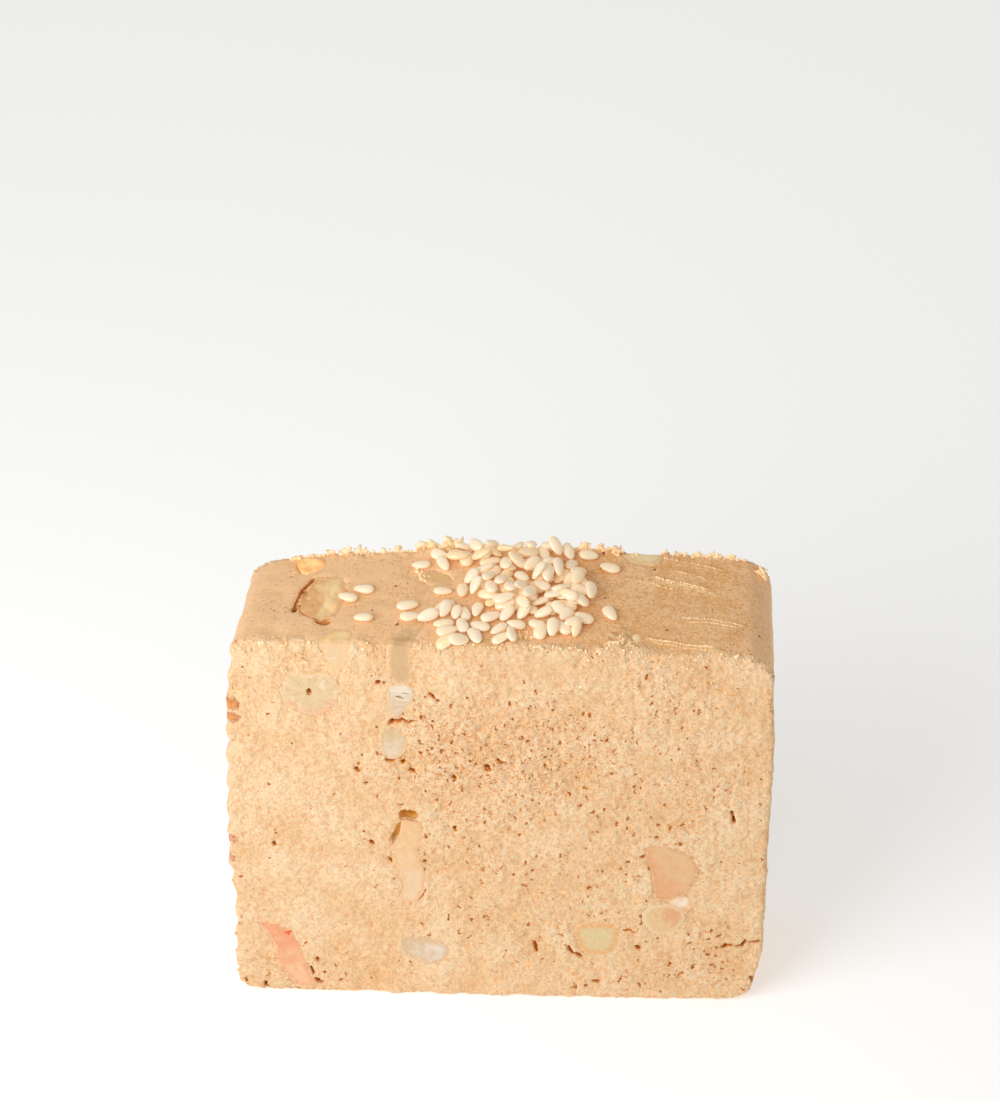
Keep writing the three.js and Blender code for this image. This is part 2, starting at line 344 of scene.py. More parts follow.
class ShapeTree:
    """A Geometry Nodes tree with named inputs, which runs once on one object."""

    SOCKETS = {
        int: "NodeSocketInt", float: "NodeSocketFloat", tuple: "NodeSocketVector",
        Object: "NodeSocketObject", Collection: "NodeSocketCollection",
    }

    def __init__(self, name: str, **values) -> None:
        """Makes the tree with one input for each named value.

        Args:
            name: The tree's name.
            values: The inputs' names, with underscores for spaces, and their values.
        """
        self.tree = bpy.data.node_groups.new(name, "GeometryNodeTree")
        self.values = {key.replace("_", " ").capitalize(): value for key, value in values.items()}
        sockets = self.tree.interface
        sockets.new_socket("Geometry", in_out="OUTPUT", socket_type="NodeSocketGeometry")
        sockets.new_socket("Geometry", in_out="INPUT", socket_type="NodeSocketGeometry")
        for key, value in self.values.items():
            sockets.new_socket(key, in_out="INPUT", socket_type=self.SOCKETS[type(value)])
        self.add = partial(add_node, self.tree)
        self.inlet = self.add("NodeGroupInput")

    def value(self, key: str) -> NodeSocket:
        """Gives the named input's socket inside the tree."""
        return self.inlet.outputs[key]

    def mm(self) -> Node:
        """Gives the position of each point in millimetres."""
        position = self.add("GeometryNodeInputPosition")
        return self.add(SCALED, {0: position, "Scale": 1 / MM})

    def moved(self, offset: Node, **looks: Node | NodeSocket) -> Node:
        """Moves the geometry and keeps what its finish reads.

        Args:
            offset: How far each point moves, in metres.
            looks: The attributes to store, and their values before the move.

        Returns:
            The moved geometry.
        """
        geometry = self.value("Geometry")
        for name, value in looks.items():
            links = {"Geometry": geometry, "Name": name, "Value": value}
            geometry = self.add("GeometryNodeStoreNamedAttribute", links, data_type="FLOAT", domain="POINT")
        return self.add("GeometryNodeSetPosition", {"Geometry": geometry, "Offset": offset})

    def run(self, obj: Object, geometry: Node, material: Material) -> None:
        """Closes the tree, sets its inputs and turns its result into the object's mesh.

        Args:
            obj: The object that the tree shapes.
            geometry: The node that gives the finished geometry.
            material: The material that it gets.
        """
        real = self.add("GeometryNodeRealizeInstances", [geometry])
        dressed = self.add("GeometryNodeSetMaterial", {"Geometry": real, "Material": material})
        self.add("NodeGroupOutput", [dressed])
        modifier = obj.modifiers.new(self.tree.name, "NODES")
        modifier.node_group = self.tree
        for item in self.tree.interface.items_tree:
            if item.name in self.values and item.in_out == "INPUT":
                modifier[item.identifier] = self.values[item.name]
        settle_modifiers(obj)
        bpy.data.node_groups.remove(self.tree)


# ---- finishes


class ShaderTree:
    """A new material's nodes, which end in one Principled shader."""

    def __init__(self, name: str) -> None:
        """Makes the material with its millimetre coordinates.

        Args:
            name: The material's name.
        """
        self.material = bpy.data.materials.new(name)
        self.material.use_nodes = True
        self.material.node_tree.nodes.clear()
        self.add = partial(add_node, self.material.node_tree)
        where = self.add("ShaderNodeTexCoord").outputs["Object"]
        self.mm = self.add(SCALED, {0: where, "Scale": 1 / MM})

    def coat(self, colour: object, *coats: tuple[object, object]) -> Node:
        """Lays coats of colour over a ground.

        Args:
            colour: The ground, as a node or as sRGB hex digits.
            coats: Each coat's share, from 0 to 1, and its colour, the lowest coat first.

        Returns:
            The node that gives the colour seen from above.
        """
        for share, coat in coats:
            low, high = (linear(hue) if isinstance(hue, str) else hue for hue in (colour, coat))
            colour = self.add(MIX, {"Factor": share, "A": low, "B": high}, data_type="RGBA")
        return colour

    def crisp(self, share: object, rough: object, level: float) -> Node:
        """Gives a soft share a sharp and ragged border.

        Args:
            share: The soft share, from 0 to 1.
            rough: Pattern that frays the border.
            level: The share at which the border runs.

        Returns:
            1 inside the border and 0 outside.
        """
        frayed = self.add(TIMES_PLUS, [rough, 1.6, 0.2])
        frayed = self.add(TIMES, [share, frayed])
        return self.add(MAP_RANGE, [frayed, level - 0.05, level + 0.05])

    def stack(self, *parts: tuple[Node, float]) -> Node:
        """Adds up patterns.

        Args:
            parts: Each pattern and its height, in mm.

        Returns:
            The sum of their heights.
        """
        total = 0.0
        for pattern, height in parts:
            total = self.add(TIMES_PLUS, [pattern, height, total])
        return total

    def spots(self, where: object, gap: float, size: Point, share: object, ragged: object = 0.5) -> Node:
        """Scatters round or ragged spots.

        Args:
            where: Millimetres that place the spots.
            gap: Millimetres between their cells.
            size: Share of the gap at which a spot begins and at which it is full.
            share: Share of the cells that hold a spot.
            ragged: Pattern that frays the spots' edges.

        Returns:
            1 in a spot and 0 outside.
        """
        cells = self.add(CELLS, {"Vector": where, "Scale": 1 / gap})
        chance = self.add("ShaderNodeSeparateColor", {"Color": cells.outputs["Color"]})
        fray = self.add(MINUS, [ragged, 0.5])
        away = self.add(TIMES_PLUS, [fray, 0.9, cells])
        spot = self.add(MAP_RANGE, [away, size[0], size[1]])
        picked = self.add(BELOW, [chance.outputs["Red"], share])
        return self.add(TIMES, [spot, picked])

    def finish(self, **inputs) -> Material:
        """Adds the shader and the output.

        Args:
            inputs: What goes into the shader, named with underscores for spaces.

        Returns:
            The finished material.
        """
        named = {key.replace("_", " "): value for key, value in inputs.items()}
        shader = self.add("ShaderNodeBsdfPrincipled", named)
        self.add("ShaderNodeOutputMaterial", {"Surface": shader})
        return self.material


@dataclass(frozen=True)
class HalvaFinish:
    """Pressed halva: sesame paste pulled with hot sugar into fine fibres and left to set.

    The sawn crumb is dry and matt, so it scatters light evenly; the amber of its pits, creases and
    cavities is painted shade. The skin was pressed against the tin: closed, smoother, and a shade
    darker with oil.
    """

    name: str = "pressed halva, sawn crumb and tin skin"
    crumb_pale: str = "f2dcba"
    crumb_mid: str = "e8c496"
    # painted shade: the orange laid in the crumb's creases, fine specks and rings round the pits
    crease_shade: str = "d98c48"
    # painted shade: the dark orange inside the pits and cracks
    pit: str = "ae6018"
    # painted shade: the amber glow deep in the cavities inside the block's outline
    deep: str = "ffd070"
    skin_pale: str = "f9cfa2"
    skin_mid: str = "e5b176"
    dimple: str = "b87238"
    smear: str = "fadaab"
    husk: str = "a8603c"
    husk_dark: str = "4c3c30"
    granule: float = 0.38  # mm across the finest granules
    grit: float = 0.24  # mm between single grains
    grain: float = 0.42  # mm between the skin's mottles
    hole_gap: float = 0.85  # mm between the finest pits
    cloud: float = 6.0  # mm between paler and darker places
    husk_gap: float = 2.6  # mm between specks of sesame husk
    # painted light: the skin pales towards the left end, where the light falls
    painted_light_end: Point = (12.0, -34.0)  # mm along X from where the skin pales to its palest
    drawn: float = 13.0  # degrees between X and the streaks that a knife drew in the skin
    relief: float = 1.0  # times the finest bumps' height
    # painted glow: light of its own, which stands in for the light that thin flakes let through
    glow: float = 0.0  # light that thin flakes let through

    def build(self) -> Material:
        """Makes the material.

        Returns:
            The material, which reads the attributes sawn, low, pit, deep, smear and open; low, pit and deep
            place painted shade.
        """
        shade = ShaderTree(self.name)
        add = shade.add
        names = ("sawn", "low", "pit", "deep", "smear", "open")
        sawn, low, pit, deep, smear, openness = (
            add(ATTRIBUTE, attribute_name=name).outputs["Fac"] for name in names
        )
        dragged = add(EACH_TIMES, [shade.mm, (1.0, 1.0, 0.6)])
        cloud = add(NOISE, {"Vector": shade.mm, "Scale": 1 / self.cloud, "Detail": 3.0})
        grit = add(NOISE, {"Vector": dragged, "Scale": 1 / self.grit, "Detail": 2.0, "Roughness": 0.6})
        grain = add(NOISE, {"Vector": shade.mm, "Scale": 1 / self.grain, "Detail": 3.0, "Roughness": 0.7})
        warp = add(NOISE, {"Vector": shade.mm, "Scale": 1 / 0.9, "Detail": 1.0})
        warped = add(EACH_PLUS, [warp.outputs["Color"], dragged])
        cells = add(
            CELLS, {"Vector": warped, "Scale": 1 / self.granule, "Smoothness": 0.3}, feature="SMOOTH_F1"
        )
        # hole paints small pits with painted shade inside each, and brim paints a ring of painted shade round
        # each; the bump sinks them a little
        share = add(MAP_RANGE, [openness, 0.0, 1.0, 0.02, 0.62])
        hole = shade.spots(warped, self.hole_gap, (0.24, 0.16), share, grain)
        brim = shade.spots(warped, self.hole_gap, (0.45, 0.22), share, grain)
        share = add(MAP_RANGE, [cloud, 0.42, 0.62, 0.1, 0.6])
        dimple = shade.spots(warped, self.hole_gap * 0.7, (0.34, 0.05), share, grit)

        tone = add(TIMES_PLUS, [grit, 0.9, cloud])
        tone = add(MAP_RANGE, [tone, 0.72, 1.18])
        # fleck, gap and brim are painted shade: fine specks, the creases between granules and low places, and
        # rings round the pits
        fleck = add(TIMES_PLUS, [openness, -0.1, grain])
        fleck = add(MAP_RANGE, [fleck, 0.36, 0.3, 0.0, 0.9])
        gap = add(MAP_RANGE, [cells, 0.42, 0.75, 0.0, 0.38])
        gap = add(TIMES_PLUS, [low, 0.22, gap], use_clamp=True)
        brim = add(TIMES, [brim, 0.5])
        crumb = shade.coat(
            self.crumb_mid, (tone, self.crumb_pale), (fleck, self.crease_shade), (gap, self.crease_shade),
            (brim, self.crease_shade), (hole, self.pit),
        )
        tone = self.skin_tone(shade, grit, grain, cloud)
        fleck = add(MAP_RANGE, [grain, 0.4, 0.28, 0.0, 0.5])
        faint = add(TIMES, [dimple, 0.5])
        beads = add(TIMES, [smear, shade.crisp(smear, grain, 0.25)])
        skin = shade.coat(
            self.skin_mid, (tone, self.skin_pale), (fleck, self.dimple), (faint, self.dimple),
            (beads, self.smear),
        )
        sawn = shade.crisp(sawn, grain, 0.5)
        # brink and floor turn the pit share into painted shade: the creases' colour at the edge of each pit
        # and crack, and the pit colour inside
        brink, floor = (shade.crisp(pit, grain, level) for level in (0.3, 0.6))
        colour = shade.coat(skin, (sawn, crumb), (brink, self.crease_shade), (floor, self.pit), (deep, self.deep))
        colour = self.husks(shade, colour)

        crumb_height = shade.stack((cells, -0.05), (grit, 0.06), (hole, -0.06), (grain, 0.04))
        calmer = add(MAP_RANGE, [openness, 0.0, 1.0, 0.5, 1.1])
        crumb_height = add(TIMES, [crumb_height, calmer])
        skin_height = shade.stack((cells, -0.02), (grain, 0.035), (dimple, -0.02))
        height = add(MIX, {"Factor": sawn, "A": skin_height, "B": crumb_height})
        bump = add("ShaderNodeBump", {"Height": height, "Distance": MM * self.relief, "Strength": 1.0})
        matt = add(MAP_RANGE, [sawn, 0.0, 1.0, 0.52, 0.88])
        # the emission is the painted glow
        return shade.finish(
            Base_Color=colour, Roughness=matt, Normal=bump, Specular_IOR_Level=0.12, Emission_Color=colour,
            Emission_Strength=self.glow,
        )

    def skin_tone(self, shade: ShaderTree, grit: Node, grain: Node, cloud: Node) -> Node:
        """Makes the skin's mottling and streaks, with painted light that pales it towards both ends.

        Args:
            shade: The material's nodes.
            grit: The finest pattern.
            grain: The mottles.
            cloud: The widest pattern.

        Returns:
            0 where the skin is dark to 1 where it is pale.
        """
        add = shade.add
        patch = add(NOISE, {"Vector": shade.mm, "Scale": 1 / 1.5, "Detail": 3.0, "Roughness": 0.65})
        along = add(
            "ShaderNodeVectorRotate", {"Vector": shade.mm, "Angle": radians(self.drawn)},
            rotation_type="Z_AXIS",
        )
        along = add(EACH_TIMES, [along, (0.16, 1.0, 1.0)])
        streak = add(NOISE, {"Vector": along, "Scale": 1 / 0.6, "Detail": 3.0, "Roughness": 0.6})
        x = add("ShaderNodeSeparateXYZ", [shade.mm]).outputs["X"]
        drawn = add(MAP_RANGE, [x, 0.0, 18.0, 0.2, 0.6])
        tone = add(TIMES_PLUS, [grain, 2.0, cloud])
        tone = add(TIMES_PLUS, [patch, 0.6, tone])
        tone = add(TIMES_PLUS, [grit, 1.2, tone])
        streak = add(MINUS, [streak, 0.5])
        tone = add(TIMES_PLUS, [streak, drawn, tone])
        tone = add(MAP_RANGE, [tone, 2.14, 2.62])
        # painted light: paler towards the lit left end, and at the far right as a painted fill
        near, far = self.painted_light_end
        paler = add(MAP_RANGE, [x, near, far, 0.0, 0.75])
        tone = add(PLUS, [tone, paler])
        painted_fill = add(MAP_RANGE, [x, 33.0, 38.0, 0.0, 0.8])
        return add(PLUS, [tone, painted_fill], use_clamp=True)

    def husks(self, shade: ShaderTree, colour: Node) -> Node:
        """Sprinkles specks of sesame husk over a colour.

        Args:
            shade: The material's nodes.
            colour: The colour under the specks.

        Returns:
            The colour with its specks.
        """
        for gap, size, share, hue in (
            (self.husk_gap, (0.08, 0.04), 0.4, self.husk),
            (self.husk_gap * 2.6, (0.03, 0.015), 0.25, self.husk_dark),
        ):
            spot = shade.spots(shade.mm, gap, size, share)
            colour = shade.coat(colour, (shade.add(TIMES, [spot, 0.8]), hue))
        return colour


class Streak(Enum):
    """How the paler parts of a piece of nut run."""

    CLOUDY = "soft clouds"
    RADIAL = "rays from its middle"
    FIBRES = "level fibres"


@dataclass(frozen=True)
class PeanutFinish:
    """Broken roasted peanut: oily and a little see-through, so light glows in it waxily."""

    name: str
    flesh: str
    cloud: str
    rim: str
    rim_width: float = 0.5  # mm
    toward: Triple = (0.0, 0.0, 0.0)  # where the cloud colour gathers
    rim_toward: Triple = (0.0, 0.0, 0.0)  # where the rim shows, 0 all round
    streak: Streak = Streak.CLOUDY
    streak_size: float = 1.6  # mm
    rough: float = 0.38
    glow: float = 0.3  # share of light that scatters inside
    # painted glow: light of its own, which stands in for the light that reaches it through the halva round it
    painted_glow: float = 0.0  # light that reaches it through the halva round it
    veil: float = 0.25  # mm of the edge that crumbs of halva cover
    chalk: float = 0.0  # how strongly dry white patches show
    seam: Triple | None = None  # x and y in mm and the way it runs in degrees

    CHALK = "fbead6"
    SEAM = "f8e2b0"
    CRUMBS = "f0cca0"
    # painted shade on the sunken walls of a kernel's eye
    HOLLOW = "d8a058"

    def build(self, low: Vector, high: Vector) -> Material:
        """Makes the material for one piece.

        Args:
            low: The piece's lowest corner, in mm.
            high: Its highest corner, in mm.

        Returns:
            The material, which reads the piece's attributes inset and hollow, the painted shade in a kernel's
            eye.
        """
        shade = ShaderTree(self.name)
        add = shade.add
        middle = (low + high) / 2
        half = (high - low) / 2
        own = add(EACH_MINUS, [shade.mm, middle])
        lean = Vector([t / h for t, h in zip(self.toward, half)])
        side = add(DOT, [own, lean])
        streaks = self.streaks(shade, own)
        amount = add(TIMES_PLUS, [side, 0.45, streaks])
        amount = add(MAP_RANGE, [amount, 0.34, 0.68])

        patches = add(NOISE, {"Vector": shade.mm, "Scale": 1 / 1.7, "Detail": 3.0, "Roughness": 0.6})
        patches = add(MAP_RANGE, [patches, 0.56, 0.63, 0.0, self.chalk])
        colour = shade.coat(self.flesh, (amount, self.cloud), (patches, self.CHALK))
        if self.seam:
            x, y, way = self.seam
            aside = Vector((-sin(radians(way)), cos(radians(way)), 0))
            off = add(EACH_MINUS, [shade.mm, Vector((x, y, 0))])
            off = add(DOT, [off, aside])
            off = add(UNSIGNED, [off])
            seam = add(MAP_RANGE, [off, 0.6, 0.1, 0.0, 0.6])
            colour = shade.coat(colour, (seam, self.SEAM))

        inset = add(ATTRIBUTE, attribute_name="inset").outputs["Fac"]
        ragged = add(NOISE, {"Vector": shade.mm, "Scale": 1.1, "Detail": 3.0})
        reach = add(TIMES, [ragged, self.rim_width * 2])
        edge = add(MAP_RANGE, [inset, reach, 0.0, 0.0, 0.8], **SMOOTH)
        lean = Vector([t / h for t, h in zip(self.rim_toward, half)])
        here = add(DOT, [own, lean])
        least = 0.35 if lean.length else -0.1
        here = add(MAP_RANGE, [here, least - 0.2, least])
        edge = add(TIMES, [edge, here])
        frayed = add(NOISE, {"Vector": shade.mm, "Scale": 2.2, "Detail": 3.0, "Roughness": 0.7})
        frayed = add(MINUS, [frayed, 0.42])
        frayed = add(TIMES, [frayed, self.veil * 8])
        frayed = add(LARGER, [frayed, 0.02])
        veil = add(MAP_RANGE, [inset, frayed, 0.0, 0.0, 0.85])
        hollow = add(ATTRIBUTE, attribute_name="hollow").outputs["Fac"]
        colour = shade.coat(colour, (edge, self.rim), (veil, self.CRUMBS), (hollow, self.HOLLOW))

        dents = add(NOISE, {"Vector": shade.mm, "Scale": 1 / 0.9, "Detail": 4.0, "Roughness": 0.6})
        bump = add("ShaderNodeBump", {"Height": dents, "Distance": 0.09 * MM, "Strength": 1.0})
        # the emission is the painted glow
        return shade.finish(
            Base_Color=colour, Roughness=self.rough, Normal=bump, Subsurface_Weight=self.glow,
            Subsurface_Radius=(1.0, 0.7, 0.45), Subsurface_Scale=0.2 * MM, Emission_Color=colour,
            Emission_Strength=self.painted_glow, IOR=1.47,
        )

    def streaks(self, shade: ShaderTree, own: Node) -> Node:
        """Makes the pattern of the paler parts.

        Args:
            shade: The material's nodes.
            own: Millimetres from the piece's middle.

        Returns:
            A value of about 0.2 to 0.8.
        """
        where = own
        if self.streak is Streak.FIBRES:
            where = shade.add(EACH_TIMES, [own, (0.25, 1.0, 3.2)])
        if self.streak is Streak.RADIAL:
            split = shade.add("ShaderNodeSeparateXYZ", [own])
            turn = shade.add(ANGLE, [split.outputs["Z"], split.outputs["X"]])
            where = shade.add("ShaderNodeCombineXYZ", {"X": turn, "Y": split.outputs["Y"]})
            where = shade.add(SCALED, {0: where, "Scale": 3.0})
        return shade.add(NOISE, {"Vector": where, "Scale": 1 / self.streak_size, "Detail": 2.5})


@dataclass(frozen=True)
class SesameFinish:
    """Hulled sesame seed, washed and dried: creamy, satin, lit from inside near its edges."""

    name: str = "hulled sesame, washed and dried"
    pale: str = "ffeed8"
    warm: str = "fce2b6"
    # painted glow: the colour of light of their own, which stands in for the light that the seeds pass on to
    # each other
    glow: str = "ffc890"  # light that the seeds pass on to each other

    def build(self) -> Material:
        """Makes the material.

        Returns:
            The material, which reads each seed's own tone.
        """
        shade = ShaderTree(self.name)
        tone = shade.add(ATTRIBUTE, attribute_name="tone").outputs["Fac"]
        skin = shade.add(NOISE, {"Vector": shade.mm, "Scale": 1 / 0.5, "Detail": 3.0})
        bump = shade.add("ShaderNodeBump", {"Height": skin, "Distance": 0.04 * MM, "Strength": 0.8})
        # the emission is the painted glow
        return shade.finish(
            Base_Color=shade.coat(self.pale, (tone, self.warm)), Roughness=0.2, Specular_IOR_Level=0.8,
            Normal=bump, Subsurface_Weight=0.5, Subsurface_Radius=(1.0, 0.8, 0.6), Subsurface_Scale=0.35 * MM,
            Emission_Color=linear(self.glow), Emission_Strength=0.09, IOR=1.46,
        )


@dataclass(frozen=True)
class FleckFinish:
    """Dry husk and nut skin: matt, from bluish black to orange by each chip's own tone."""

    name: str = "sesame husk and nut skin, dry"
    husk: str = "3c3230"
    skin: str = "ee6c34"

    def build(self) -> Material:
        """Makes the material.

        Returns:
            The material, which reads each chip's own tone.
        """
        shade = ShaderTree(self.name)
        tone = shade.add(ATTRIBUTE, attribute_name="tone").outputs["Fac"]
        colour = shade.coat(self.husk, (tone, self.skin))
        return shade.finish(Base_Color=colour, Roughness=0.7, Specular_IOR_Level=0.3)


@dataclass(frozen=True)
class TableFinish:
    """White studio table: matt painted board with no gloss."""

    name: str = "white painted board"
    paint: str = "f2f7fc"
    shine: float = 0.33  # light of its own, as on a dimmed light table

    def build(self) -> Material:
        """Makes the material.

        Returns:
            The material, which is one plain colour.
        """
        paint = linear(self.paint)
        return ShaderTree(self.name).finish(
            Base_Color=paint, Roughness=0.9, Specular_IOR_Level=0.1, Emission_Color=paint,
            Emission_Strength=self.shine,
        )


# ---- the halva


class Ground(Enum):
    """Where a size of bump lies."""

    ALL = "all"
    SAWN = "sawn"
    SKIN = "skin"


@dataclass(frozen=True)
class Bumps:
    """Noise of one size that raises and lowers the surface."""

    size: float  # mm from crest to crest
    height: float  # mm from trough to crest
    ground: Ground
    detail: float = 1.0
    stretch: Triple = (1.0, 1.0, 1.0)


@dataclass(frozen=True)
class Patch:
    """An oval of the sawn faces where the crumb is more open."""

    x: float
    z: float
    wide: float
    tall: float
    amount: float


@dataclass(frozen=True)
class Mark:
    """A crack or pit (depth above 0) or a ridge of smeared paste (depth below 0)."""

    face: Face
    path: tuple[Point, ...]
    reach: float  # mm from its middle line to its edge
    depth: float  # mm
    ragged: float = 3.6  # how far its edge frays, in times its reach


@dataclass(frozen=True)
class Spill:
    """A place on the top where crumb from the sawn face lies over the skin."""

    x: float
    y: float
    wide: float  # mm from its middle along X
    deep: float  # mm from its middle along Y
    high: float = 0.35  # mm


# Marks on the front face and on the top, by their path, reach and depth.
front = partial(Mark, Face.FRONT)
top = partial(Mark, Face.TOP)

CRACKS = (
    *each(
        front, (((-15.7, 53.5), (-15.0, 54.0), (-14.4, 53.8)), 0.38, 1.1),
        (((-14.1, 54.4), (-13.6, 53.9), (-12.9, 53.7), (-12.3, 54.0)), 0.27, 0.8),
        (((-17.5, 61.1), (-17.2, 61.3)), 0.38, 0.8), (((-16.5, 61.2),), 0.34, 0.7),
        (((-10.1, 59.2), (-9.5, 58.5), (-8.9, 58.0)), 0.25, 0.6),
        (((-15.9, 46.6), (-15.3, 46.4)), 0.42, 0.9), (((-13.7, 46.1),), 0.38, 0.8),
        (((-12.7, 44.7), (-12.1, 44.5)), 0.42, 1.0), (((-20.4, 44.8), (-20.1, 44.4)), 0.35, 0.7),
        (((-19.0, 42.0),), 0.35, 0.7), (((-6.5, 43.6), (-6.4, 43.1)), 0.29, 0.7),
        (((-1.9, 45.6), (-1.6, 45.0)), 0.42, 0.9), (((-0.2, 46.8), (0.1, 46.4)), 0.35, 0.8),
        (((-8.3, 48.5), (-8.0, 48.3)), 0.34, 0.7), (((-6.3, 33.9), (-6.2, 33.0)), 0.29, 0.7),
        (((-18.2, 30.7), (-17.9, 30.0)), 0.30, 0.8), (((-32.0, 30.0), (-31.9, 29.5)), 0.30, 0.6),
        (((-15.6, 27.2), (-15.2, 26.8)), 0.25, 0.7), (((-10.6, 26.9), (-10.3, 26.6)), 0.25, 0.7),
        (((-10.4, 21.3), (-10.9, 20.0), (-11.5, 19.0)), 0.20, 0.5), (((-25.8, 6.6),), 0.42, 0.9),
        (((-26.8, 4.9), (-26.6, 4.0)), 0.42, 0.9), (((-26.2, 2.7), (-25.4, 2.0)), 0.42, 1.0),
        (((-24.8, 4.1),), 0.34, 0.7), (((-33.4, 1.8), (-33.2, 0.9), (-33.4, 0.0)), 0.29, 0.8),
        (((-33.3, 12.7), (-32.6, 11.6), (-32.3, 10.6), (-32.0, 9.8)), 0.25, 0.7),
        (((5.5, 11.1), (5.9, 9.4)), 0.29, 0.6), (((10.4, 10.9), (10.8, 9.6), (12.4, 8.6)), 0.30, 0.6),
        (((14.3, 3.7), (14.9, 3.4)), 0.34, 0.7), (((13.2, 2.7),), 0.30, 0.6),
        (((20.4, 10.7), (20.7, 10.3)), 0.30, 0.6), (((32.9, 11.0), (33.2, 11.4)), 0.42, 1.1),
        (((33.2, 11.5), (34.4, 11.3), (35.4, 11.5)), 0.20, 0.8),
        (((35.5, 11.4), (35.9, 12.2)), 0.35, 1.0), (((36.6, 12.1), (37.8, 12.3)), 0.24, 0.7),
        (((37.3, 4.8), (37.7, 3.6)), 0.42, 0.8), (((33.0, 38.1), (33.3, 36.9), (33.4, 35.8)), 0.25, 1.0),
        (((18.6, 27.5),), 0.29, 0.7), (((20.7, 28.8),), 0.34, 0.7), (((-29.6, 0.3), (-28.6, 0.5)), 0.50, 0.5),
    ),
    top(((-23.0, 3.0), (-22.4, 1.4)), 0.5, 0.8),
    top(((-26.8, 4.6), (-28.3, 1.7), (-29.4, -2.9)), 0.42, 1.6, 0.8),
    front(((-27.0, 59.3), (-27.0, 58.5)), 0.42, 2.0), top(((-30.4, 7.2), (-29.8, 4.9)), 0.4, 0.7),
    top(((-14.9, -10.0), (-14.5, -8.8)), 0.25, 0.5),
)


def drawn(path: tuple[Point, ...], reach: float, depth: float, lines: int, gap: float) -> tuple[Mark, ...]:
    """Makes a sheaf of ridges side by side on the top.

    Args:
        path: The first ridge's middle line, in mm.
        reach: Half of a ridge's width, in mm.
        depth: A ridge's height in mm, below 0.
        lines: How many ridges there are.
        gap: How far each lies in front of the one before, in mm.

    Returns:
        The ridges.
    """
    along, ragged = 0.9, 2.6  # mm that each starts further to the right, and how far its edge frays
    moved = (tuple((x + along * i, y - gap * i) for x, y in path) for i in range(lines))
    return tuple(top(line, reach, depth, ragged) for line in moved)


SMEARS = (
    *drawn(((14.4, 5.0), (18.4, 4.1), (21.0, 3.6), (24.4, 2.7)), 0.12, -0.08, 1, 0.5),
    *drawn(((21.2, 4.9), (25.4, 4.0), (28.6, 3.1)), 0.17, -0.13, 3, 0.62),
    *drawn(((20.3, 3.8), (22.0, 3.9)), 0.19, -0.12, 1, 0.5),
    *drawn(((22.6, 9.0), (27.0, 8.1), (30.6, 7.3)), 0.15, -0.10, 2, 0.8),
    *drawn(((24.4, 6.4), (28.2, 5.4)), 0.14, -0.09, 2, 0.6),
    *drawn(((25.0, -2.9), (29.0, -2.9), (33.4, -3.7)), 0.15, -0.12, 3, 0.66),
    *drawn(((20.0, -7.3), (24.4, -8.0), (29.2, -8.6)), 0.17, -0.14, 2, 0.6),
    *drawn(((12.0, -4.4), (17.4, -5.2)), 0.12, -0.07, 2, 0.9),
    *drawn(((-18.0, 1.2), (-15.8, 0.2), (-14.0, -1.0)), 0.12, -0.08, 1, 0.5),
    *drawn(((-34.6, -5.9), (-34.9, -9.9)), 0.45, -0.05, 2, -0.5),
    *drawn(((-31.4, -5.4), (-32.2, -9.9)), 0.50, -0.06, 3, -0.4),
    front(((18.4, 68.4), (18.7, 66.0), (18.8, 60.0)), 0.49, -0.10),
)


